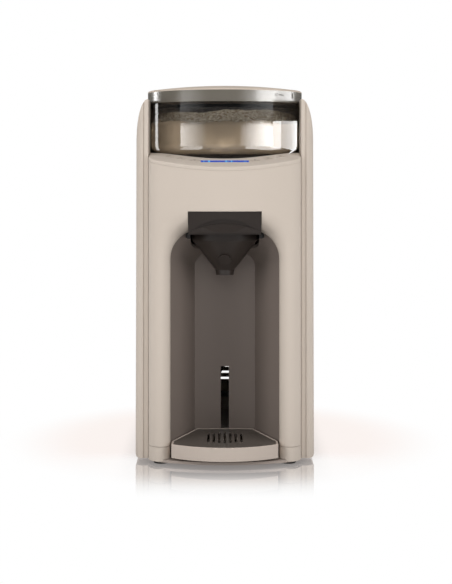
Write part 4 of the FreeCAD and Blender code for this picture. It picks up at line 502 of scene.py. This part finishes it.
SIGN = 0.0013                           # half height of a printed sign
triangle = np.array([(-0.6, -0.9), (0.9, 0.0), (-0.6, 0.9), (-0.6, -0.9)]) * SIGN
square = np.array([(-0.8, -0.8), (0.8, -0.8), (0.8, 0.8), (-0.8, 0.8), (-0.8, -0.8)]) * SIGN
dash = np.array([(-SIGN, 0.0), (0.0, 0.0), (SIGN, 0.0)])
bowl = arc(SIGN * 0.6, 200, 340, 17, 0.0, -SIGN * 0.3)
drop = np.concatenate([bowl, [(0.0, SIGN * 1.1)], bowl[:1]])
SIGNS = [[triangle], [dash], [dash, dash[:, ::-1]], [drop], [arc(SIGN * 0.85, 0, 360)], [square]]
for number, sign in enumerate(SIGNS, 1):
    middle_x, middle_y = key_middle(nodes[f"key_{number}"])
    turn = math.atan2(middle_x, AXIS_Y - middle_y)

    def on_key(pairs, x=middle_x, y=middle_y, turn=turn):
        """Key top: the crowned ledge's circle about a level axis, raised by the key's rise."""
        px = x + pairs[:, 0] * math.cos(turn) - pairs[:, 1] * math.sin(turn)
        py = y + pairs[:, 0] * math.sin(turn) + pairs[:, 1] * math.cos(turn)
        lean = np.minimum(0.0, py - FACE_Y - CREST_BACK) / (CROWN_R + KEY_RISE)
        rise = np.sqrt(1 - lean ** 2)
        pz = CROWN_TOP - CROWN_R + (CROWN_R + KEY_RISE) * rise
        return np.stack([px, py, pz], 1), np.stack([0 * px, lean, rise], 1)

    dress([f"key_{number}"], key_plastic)
    inked(f"key_{number}_sign", [ribbon(path, on_key, INK_WIDTH, INK_LIFT) for path in sign],
                  key_ink, f"key_{number}_cap")

# Display window: one strip of tinted polycarbonate pressed into the ledge. The light behind it
# comes through as a blue field with a few brighter cyan segments.
LENS_BODY, LENS_BLUE, LENS_CYAN = (12, 24, 70), (30, 74, 184), (96, 200, 250)
FIELD_TO, SEGMENT_FROM = 0.56, 0.66     # noise up to which the field stays, and cyan from which
lens = bpy.data.materials.new("display_window")
lens.use_nodes = True
tree = lens.node_tree
shader = tree.nodes["Principled BSDF"]
place = tree.nodes.new("ShaderNodeTexCoord")
cells = tree.nodes.new("ShaderNodeTexNoise")
cells.noise_dimensions = "1D"
cells.inputs["Scale"].default_value = 240.0
apart = tree.nodes.new("ShaderNodeSeparateXYZ")
tree.links.new(place.outputs["Object"], apart.inputs[0])
tree.links.new(apart.outputs["X"], cells.inputs["W"])
lit = tree.nodes.new("ShaderNodeValToRGB")
lit.color_ramp.elements[0].position, lit.color_ramp.elements[1].position = FIELD_TO, SEGMENT_FROM
lit.color_ramp.elements[0].color = linear(*LENS_BLUE)
lit.color_ramp.elements[1].color = linear(*LENS_CYAN)
tree.links.new(cells.outputs["Fac"], lit.inputs["Fac"])
tree.links.new(lit.outputs["Color"], shader.inputs["Emission Color"])
shader.inputs["Emission Strength"].default_value = 0.9
shader.inputs["Base Color"].default_value = linear(*LENS_BODY)
shader.inputs["Roughness"].default_value = 0.12
dress(["display_lens"], lens)

# Niche: the liner that wraps the bottle space, the beige plate under the machine, and the black
# mouldings: the guide that the funnel drawer runs in, tank dock, mains inlet and powder chute.
UMBER = (128, 117, 110)
dress(["niche_liner"], moulded("niche_umber", UMBER, roughness=0.42, Specular_IOR_Level=0.3))
dress(["base_plate"], moulded("plate_beige", (176, 163, 154), roughness=0.5))
dress(["funnel_guide", "tank_dock", "power_inlet", "powder_chute"],
      moulded("black_polyamide", (26, 24, 23), roughness=0.5, grain=1100.0))


def clear_plastic(name, tint, roughness=0.04, density=0.0, **plain):
    """See-through moulding: light is tinted at each skin, and by the wall's depth where
    density, in 1 / m, is above 0. Shadow rays pass, so that lamps light what stands inside."""
    material = bpy.data.materials.new(name)
    material.use_nodes = True
    tree = material.node_tree
    shader = tree.nodes["Principled BSDF"]
    skin = tree.nodes.new("ShaderNodeGroup")
    skin.node_tree = moulded_skin
    skin.inputs["Colour"].default_value = (1.0, 1.0, 1.0, 1.0) if density else linear(*tint)
    for socket, value in (("Tone", 0.02), ("Grain", 120.0), ("Depth", 0.00001)):
        skin.inputs[socket].default_value = value
    tree.links.new(skin.outputs["Colour"], shader.inputs["Base Color"])
    tree.links.new(skin.outputs["Normal"], shader.inputs["Normal"])
    shader.inputs["Roughness"].default_value = roughness
    shader.inputs["Transmission Weight"].default_value = 1.0
    shader.inputs["IOR"].default_value = 1.52
    for socket, value in plain.items():
        shader.inputs[socket.replace("_", " ")].default_value = value
    passing = tree.nodes.new("ShaderNodeBsdfTransparent")
    path = tree.nodes.new("ShaderNodeLightPath")
    lit_through = tree.nodes.new("ShaderNodeMixShader")
    tree.links.new(path.outputs["Is Shadow Ray"], lit_through.inputs["Fac"])
    tree.links.new(shader.outputs[0], lit_through.inputs[1])
    tree.links.new(passing.outputs[0], lit_through.inputs[2])
    tree.links.new(lit_through.outputs[0], tree.nodes["Material Output"].inputs["Surface"])
    passing.inputs["Color"].default_value = (0.9, 0.9, 0.9, 1.0) if density else linear(*tint)
    if density:
        depth = tree.nodes.new("ShaderNodeVolumeAbsorption")
        depth.inputs["Color"].default_value = linear(*tint)
        depth.inputs["Density"].default_value = density
        tree.links.new(depth.outputs[0], tree.nodes["Material Output"].inputs["Volume"])
    return material


# Funnel drawer: the funnel and the cover over it, moulded in one dark smoky brown that lets
# only a little light through, with a satin face.
dress(["mixing_funnel", "funnel_cover"],
      clear_plastic("smoky_brown", (54, 47, 43), roughness=0.30, Transmission_Weight=0.2,
                    Specular_IOR_Level=0.4))

# Powder container: a deep round box of clear smoked copolyester that stands in the control
# ledge's well, and the small white scraper over its outlet.
dress(["powder_container"],
      clear_plastic("smoked_clear", (122, 106, 88), density=310.0, Specular_IOR_Level=1.0))
dress(["powder_scraper"], moulded("natural_white", (226, 224, 216), roughness=0.4))

# Milk powder: a loose heap that stands against the container's wall, highest in the middle. It
# arches over the stirring wheel, whose paddles sweep the space under it, and moves with the
# container.
POWDER_R = 0.0735
POWDER_EDGE, POWDER_CREST = 0.0346, 0.0464      # heights above the container's base
POWDER_RISE_DEPTH = 0.046                       # front wall to crest
POWDER_FOOT, POWDER_VAULT = 0.0050, 0.0252      # skirt's foot and underside of the heap
POWDER_BACK_FALL = 0.004                        # fall from the axis to the back wall
SKIRT_IN, SKIRT_TOP = 0.0684, 0.030             # skirt's inner radius, and where its wall starts
OUTLET_RING = 0.00198                           # outlet ring under the container's base
CUP_CORNER_R, CUP_FLOOR = 0.0106, 0.0032        # inside corner and floor, with a hair of room
CUP_CORNER_SWEEP = 62.0                         # degrees of the corner that the powder follows


def powder_top(x, y):
    """Height of the heap above the container's base: from the front wall it rises along y in
    a smooth step to a crest that waves across x, falls a little towards the back wall, and
    carries lumps that are sums of sines at three sizes."""
    front = AXIS_Y - np.sqrt(np.maximum(POWDER_R ** 2 - x ** 2, 0.0))
    share = np.clip((y - front) / POWDER_RISE_DEPTH, 0.0, 1.0)
    share = share * share * (3 - 2 * share)
    edge = POWDER_EDGE + 0.0011 * np.sin(75 * x - 0.4) + 0.0009 * np.cos(160 * x + 0.8)
    crest = POWDER_CREST + 0.0013 * np.sin(52 * x + 0.3) + 0.0007 * np.cos(140 * x)
    lumps = (0.00055 * np.sin(420 * x + 2 * np.sin(260 * y)) * np.cos(380 * y + 1.1)
             + 0.00032 * np.sin(900 * x + 610 * y) * np.cos(840 * y - 500 * x + 0.7)
             + 0.00018 * np.sin(1900 * x - 900 * y) * np.sin(1700 * y + 1000 * x))
    back = np.clip((y - AXIS_Y) / POWDER_R, 0.0, 1.0)
    return edge + (crest - edge) * share - POWDER_BACK_FALL * back ** 2 + lumps


# The heap's mesh is rings of points round the container's axis. They run outwards over the top,
# down the wall and round the container's inside corner to the skirt's foot, up inside the skirt
# and inwards under the vault. A point in the middle of the top and one in the middle of the
# vault close it.
around = np.linspace(0.0, 2 * np.pi, 240, endpoint=False)
CUP_BASE = container_low[2] + OUTLET_RING
reach_out = np.linspace(0.0, 1.0, 90)[1:] * POWDER_R
ring_x = np.outer(reach_out, np.sin(around))
ring_y = AXIS_Y - np.outer(reach_out, np.cos(around))
ring_z = CUP_BASE + powder_top(ring_x, ring_y)
bend = np.radians(np.linspace(0.0, CUP_CORNER_SWEEP, 9))
wall_r = np.concatenate([[POWDER_R], POWDER_R - CUP_CORNER_R * (1 - np.cos(bend)),
                         [SKIRT_IN, SKIRT_IN]])
wall_z = np.concatenate([[SKIRT_TOP], CUP_FLOOR + CUP_CORNER_R * (1 - np.sin(bend)),
                         [POWDER_FOOT, POWDER_VAULT]])
under_r = np.linspace(SKIRT_IN, 0.0, 12)[1:-1]
lower_r = np.concatenate([wall_r, under_r])
lower_z = np.concatenate([wall_z, np.full(len(under_r), POWDER_VAULT)])
ring_x = np.concatenate([ring_x, np.outer(lower_r, np.sin(around))])
ring_y = np.concatenate([ring_y, AXIS_Y - np.outer(lower_r, np.cos(around))])
ring_z = np.concatenate([ring_z, CUP_BASE + np.repeat(lower_z[:, None], len(around), 1)])
rings, spokes = ring_x.shape
vertices = np.stack([ring_x, ring_y, ring_z], 2).reshape(-1, 3)
first = np.arange(rings - 1)[:, None] * spokes + np.arange(spokes)[None, :]
next_spoke = np.arange(rings - 1)[:, None] * spokes + (np.arange(spokes)[None, :] + 1) % spokes
quads = np.stack([first, first + spokes, next_spoke + spokes, next_spoke], 2).reshape(-1, 4)
poles = len(vertices)
middle_top = CUP_BASE + float(powder_top(np.zeros(1), np.full(1, AXIS_Y))[0])
vertices = np.concatenate([vertices, [(0.0, AXIS_Y, middle_top),
                                      (0.0, AXIS_Y, CUP_BASE + POWDER_VAULT)]])
spoke = np.arange(spokes)
last = (rings - 1) * spokes
caps = np.concatenate([
    np.stack([np.full(spokes // 2, poles), spoke[0::2], spoke[1::2], (spoke[0::2] + 2) % spokes], 1),
    np.stack([np.full(spokes // 2, poles + 1), last + (spoke[0::2] + 2) % spokes,
              last + spoke[1::2], last + spoke[0::2]], 1)])

# Its colour: an even packed tone where it lies against the wall, and loose crumbs on the faces that
# look up. The crumbs' grain is their own; their lighter tone on the top is partly painted light.
PACKED, CRUMB_DARK, CRUMB_LIGHT = (192, 177, 154), (158, 140, 112), (255, 250, 232)
# the upward share picks the lighter crumb tones: real crumbs, and a painted lighter top where light
# falls
WALL_SLOPE, LOOSE_SLOPE = 0.15, 0.55    # upward share of the normal: packed below, loose above
CRUMB_LOW, CRUMB_HIGH = 0.36, 0.66      # grain noise of the darkest and the lightest crumb

milk_powder = bpy.data.materials.new("milk_powder")
milk_powder.use_nodes = True
tree = milk_powder.node_tree
shader = tree.nodes["Principled BSDF"]
place = tree.nodes.new("ShaderNodeTexCoord")
grains, crumbs = tree.nodes.new("ShaderNodeTexNoise"), tree.nodes.new("ShaderNodeTexVoronoi")
grains.inputs["Scale"].default_value, grains.inputs["Detail"].default_value = 430.0, 5.0
crumbs.inputs["Scale"].default_value = 520.0
tones = tree.nodes.new("ShaderNodeValToRGB")
tones.color_ramp.elements[0].position, tones.color_ramp.elements[1].position = CRUMB_LOW, CRUMB_HIGH
tones.color_ramp.elements[0].color = linear(*CRUMB_DARK)
tones.color_ramp.elements[1].color = linear(*CRUMB_LIGHT)
for noise in (grains, crumbs):
    tree.links.new(place.outputs["Object"], noise.inputs["Vector"])
tree.links.new(grains.outputs["Fac"], tones.inputs["Fac"])
facing, upright = tree.nodes.new("ShaderNodeNewGeometry"), tree.nodes.new("ShaderNodeSeparateXYZ")
tree.links.new(facing.outputs["True Normal"], upright.inputs[0])
# mask by how far a face looks up: loose crumbs and their bumps, and a painted lighter top
crumbs_and_lit_top = ramp(tree, upright.outputs["Z"], WALL_SLOPE, LOOSE_SLOPE, 0.0, 1.0)
packed = tree.nodes.new("ShaderNodeMix")
packed.data_type = "RGBA"
packed.inputs["A"].default_value = linear(*PACKED)
tree.links.new(crumbs_and_lit_top, packed.inputs["Factor"])
tree.links.new(tones.outputs["Color"], packed.inputs["B"])
tree.links.new(packed.outputs["Result"], shader.inputs["Base Color"])
relief = tree.nodes.new("ShaderNodeBump")
relief.inputs["Distance"].default_value = 0.0030
height = blended(tree, "ADD", grains.outputs["Fac"], crumbs.outputs["Distance"])
tree.links.new(blended(tree, "MULTIPLY", height, crumbs_and_lit_top), relief.inputs["Height"])
tree.links.new(relief.outputs["Normal"], shader.inputs["Normal"])
shader.inputs["Roughness"].default_value = 0.95
shader.inputs["Specular IOR Level"].default_value = 0.1
heap = solid("powder_heap", vertices, np.concatenate([quads, caps]), milk_powder, "container")
heap.data.shade_smooth()

# Lamps for the heap alone, because the smoked wall takes much of the light on its way in and
# out: a square in the space above it, a strip at each side and a bar in front of its foot.
HEAD_SIZE, HEAD_WATTS, HEAD_FORWARD, HEAD_ABOVE = 0.10, 0.014, 0.010, 0.0535
SIDE_FRONT, SIDE_BACK, SIDE_RADIANCE = -0.1128, -0.0725, 36.0
FOOT_LOW, FOOT_HIGH, FOOT_Y, FOOT_WIDTH, FOOT_RADIANCE = 0.2845, 0.2925, -0.130, 0.150, 27.0
heap_only = bpy.data.collections.new("heap_only")
heap_only.objects.link(heap)


def lights_heap(box):
    """Limits a lamp to the powder heap, and to its matt light."""
    box.visible_diffuse, box.visible_glossy = True, False
    box.light_linking.receiver_collection = heap_only


head_box = soft_box("heap_light", HEAD_SIZE, HEAD_SIZE, HEAD_WATTS)
head_box.location = (0.0, AXIS_Y - HEAD_FORWARD, container_low[2] + HEAD_ABOVE)
lights_heap(head_box)
for side in (-1, 1):
    lights_heap(edge_strip(f"heap_side_{side + 2}", side * EDGE_X, SIDE_FRONT, SIDE_BACK,
                           container_low[2] + POWDER_LINE, SIDE_RADIANCE))
foot_height = FOOT_HIGH - FOOT_LOW
foot_box = soft_box("heap_foot", FOOT_WIDTH, foot_height,
                    even_power(FOOT_RADIANCE, FOOT_WIDTH, foot_height))
foot_box.location = (0.0, FOOT_Y, (FOOT_LOW + FOOT_HIGH) / 2)
foot_box.rotation_euler = (math.pi / 2, 0.0, 0.0)
lights_heap(foot_box)

# Water tank: a tall box of clear smoked copolyester that stands on the shelf at the machine's
# back and lifts off.
dress(["water_tank"], clear_plastic("smoked_tank", (138, 130, 120), density=170.0))

# Lid: a pearl dome in a satin ring, with a soft seal under it. The ring carries the printed
# turn arrow and bar. The seal round the powder outlet and the machine's feet are of the same
# grey rubber as the lid's seal.
BAND_INK = (72, 66, 58)
dress(["lid_cap"], moulded("pearl_dome", (206, 192, 178), roughness=0.5, Specular_IOR_Level=0.12))
dress(["lid_band"], moulded("satin_ring", (106, 101, 92), roughness=0.20, tone=0.10,
                            grain=2400.0))
dress(["lid_seal", "dock_seal", "rubber_feet"],
      moulded("grey_rubber", (58, 56, 54), roughness=0.7, grain=800.0))
band_low, band_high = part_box("lid_band")
BAND_R = (band_high[0] - band_low[0]) / 2
ARROW_AT, BAR_AT = math.radians(43.0), math.radians(58.4)
ARROW_WIDTH, BAR_WIDTH, MARK_LIFT = 0.0008, 0.0019, 0.00005
MARK_Z = band_low[2] + 0.0070           # the marks' middle, above the ring's lower edge


def on_ring(pairs, turn=ARROW_AT):
    """Ring's outer face: u runs along its circle from the given angle, v is height."""
    angle = turn + pairs[:, 0] / BAND_R
    out = np.stack([np.sin(angle), -np.cos(angle), 0 * angle], 1)
    point = out * BAND_R
    point[:, 1] += AXIS_Y
    point[:, 2] = MARK_Z + pairs[:, 1]
    return point, out


arrow_head = np.array([(-0.0058, 0.0), (-0.0026, 0.0015), (-0.0026, -0.0015), (-0.0058, 0.0)])
arrow_tail = np.stack([np.linspace(-0.0014, 0.0066, 9), np.zeros(9)], 1)
bar = np.stack([np.zeros(5), np.linspace(-0.0026, 0.0026, 5)], 1)
marks = [ribbon(arrow_head, on_ring, ARROW_WIDTH, MARK_LIFT),
         ribbon(arrow_tail, on_ring, ARROW_WIDTH, MARK_LIFT),
         ribbon(bar, lambda pairs: on_ring(pairs, BAR_AT), BAR_WIDTH, MARK_LIFT)]
inked("lid_marks", marks, moulded("band_ink", BAND_INK, roughness=0.5), "lid")

# Works: wheels, gears, filter, valve and nozzle in natural white acetal; plated steel screws,
# pins and motor case; a sintered bronze bush; grey frame parts; pump, heater, hoses and boards.
natural_acetal = moulded("natural_acetal", (232, 230, 222), roughness=0.36)
dress(["metering_wheel", "stirring_wheel", "drive_gear", "motor_pinion", "tank_filter",
       "tank_valve", "water_nozzle"], natural_acetal)
plated_steel = moulded("plated_steel", (196, 196, 194), roughness=0.25, Metallic=1.0)
dress(["case_screws", "motor_screws", "hinge_pins", "gear_motor"], plated_steel)
dress(["shaft_bush"], moulded("sintered_bronze", (184, 140, 84), roughness=0.4, Metallic=1.0))
dress(["chassis", "gear_plate"], moulded("grey_frame", (120, 119, 117), roughness=0.5))
dress(["water_pump"], moulded("pump_black", (30, 30, 31), roughness=0.45))
dress(["water_heater"], moulded("cast_aluminium", (168, 168, 166), roughness=0.45, Metallic=0.9))
dress(["inlet_hose", "heater_hose", "nozzle_hose"],
      moulded("silicone_hose", (150, 148, 142), roughness=0.4))
dress(["main_board", "display_board"], moulded("green_laminate", (28, 84, 52), roughness=0.4))

# Valve spring: a coil of plated round wire between the poppet and its cage.
WIRE_R, SPRING_TURNS, POPPET_TRAVEL = 0.0006, 3.5, 0.003


def coil(low, high, radius, x, y, steps=113, sides=12):
    """Round wire along a helix about an upright axis at x, y, from height low to high. Each
    cross-section is a circle in the plane of the outward direction and of the wire's binormal,
    and both ends are closed."""
    turn = np.linspace(0.0, 2 * np.pi * SPRING_TURNS, steps)
    out = np.stack([np.cos(turn), np.sin(turn), 0 * turn], 1)
    middle = out * radius + np.stack([x + 0 * turn, y + 0 * turn, np.linspace(low, high, steps)], 1)
    along = np.gradient(middle, axis=0)
    along /= np.linalg.norm(along, axis=1)[:, None]
    up = np.cross(along, out)
    angle = np.linspace(0.0, 2 * np.pi, sides, endpoint=False)[None, :, None]
    ring = middle[:, None] + WIRE_R * (np.cos(angle) * out[:, None] + np.sin(angle) * up[:, None])
    here = np.arange(steps - 1)[:, None] * sides + np.arange(sides)[None, :]
    beside = np.arange(steps - 1)[:, None] * sides + (np.arange(sides)[None, :] + 1) % sides
    wall = np.stack([here, beside, beside + sides, here + sides], 2).reshape(-1, 4)
    k = np.arange(1, sides - 2, 2)
    end = np.stack([0 * k, k, k + 1, k + 2], 1)
    return ring.reshape(-1, 3), np.concatenate([wall, end[:, ::-1], end + (steps - 1) * sides])


coil_low, coil_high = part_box("valve_spring")
coil_x, coil_y = (coil_low[0] + coil_high[0]) / 2, (coil_low[1] + coil_high[1]) / 2
spring = solid("valve_coil", *coil(coil_low[2] + WIRE_R, coil_high[2] - WIRE_R,
                                   (coil_high[0] - coil_low[0]) / 2 - WIRE_R, coil_x, coil_y),
               plated_steel, "tank")
spring.data.shade_smooth()
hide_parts("valve_spring")
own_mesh(spring)

# Drip tray: a shallow beige basin that hooks into the niche's slot, with a dark slotted grille
# that drops into it and lifts out.
dress(["drip_tray"], moulded("tray_beige", (198, 185, 174), Specular_IOR_Level=0.2))
dress(["tray_cover"], moulded("tray_umber", (96, 89, 83), roughness=0.4))
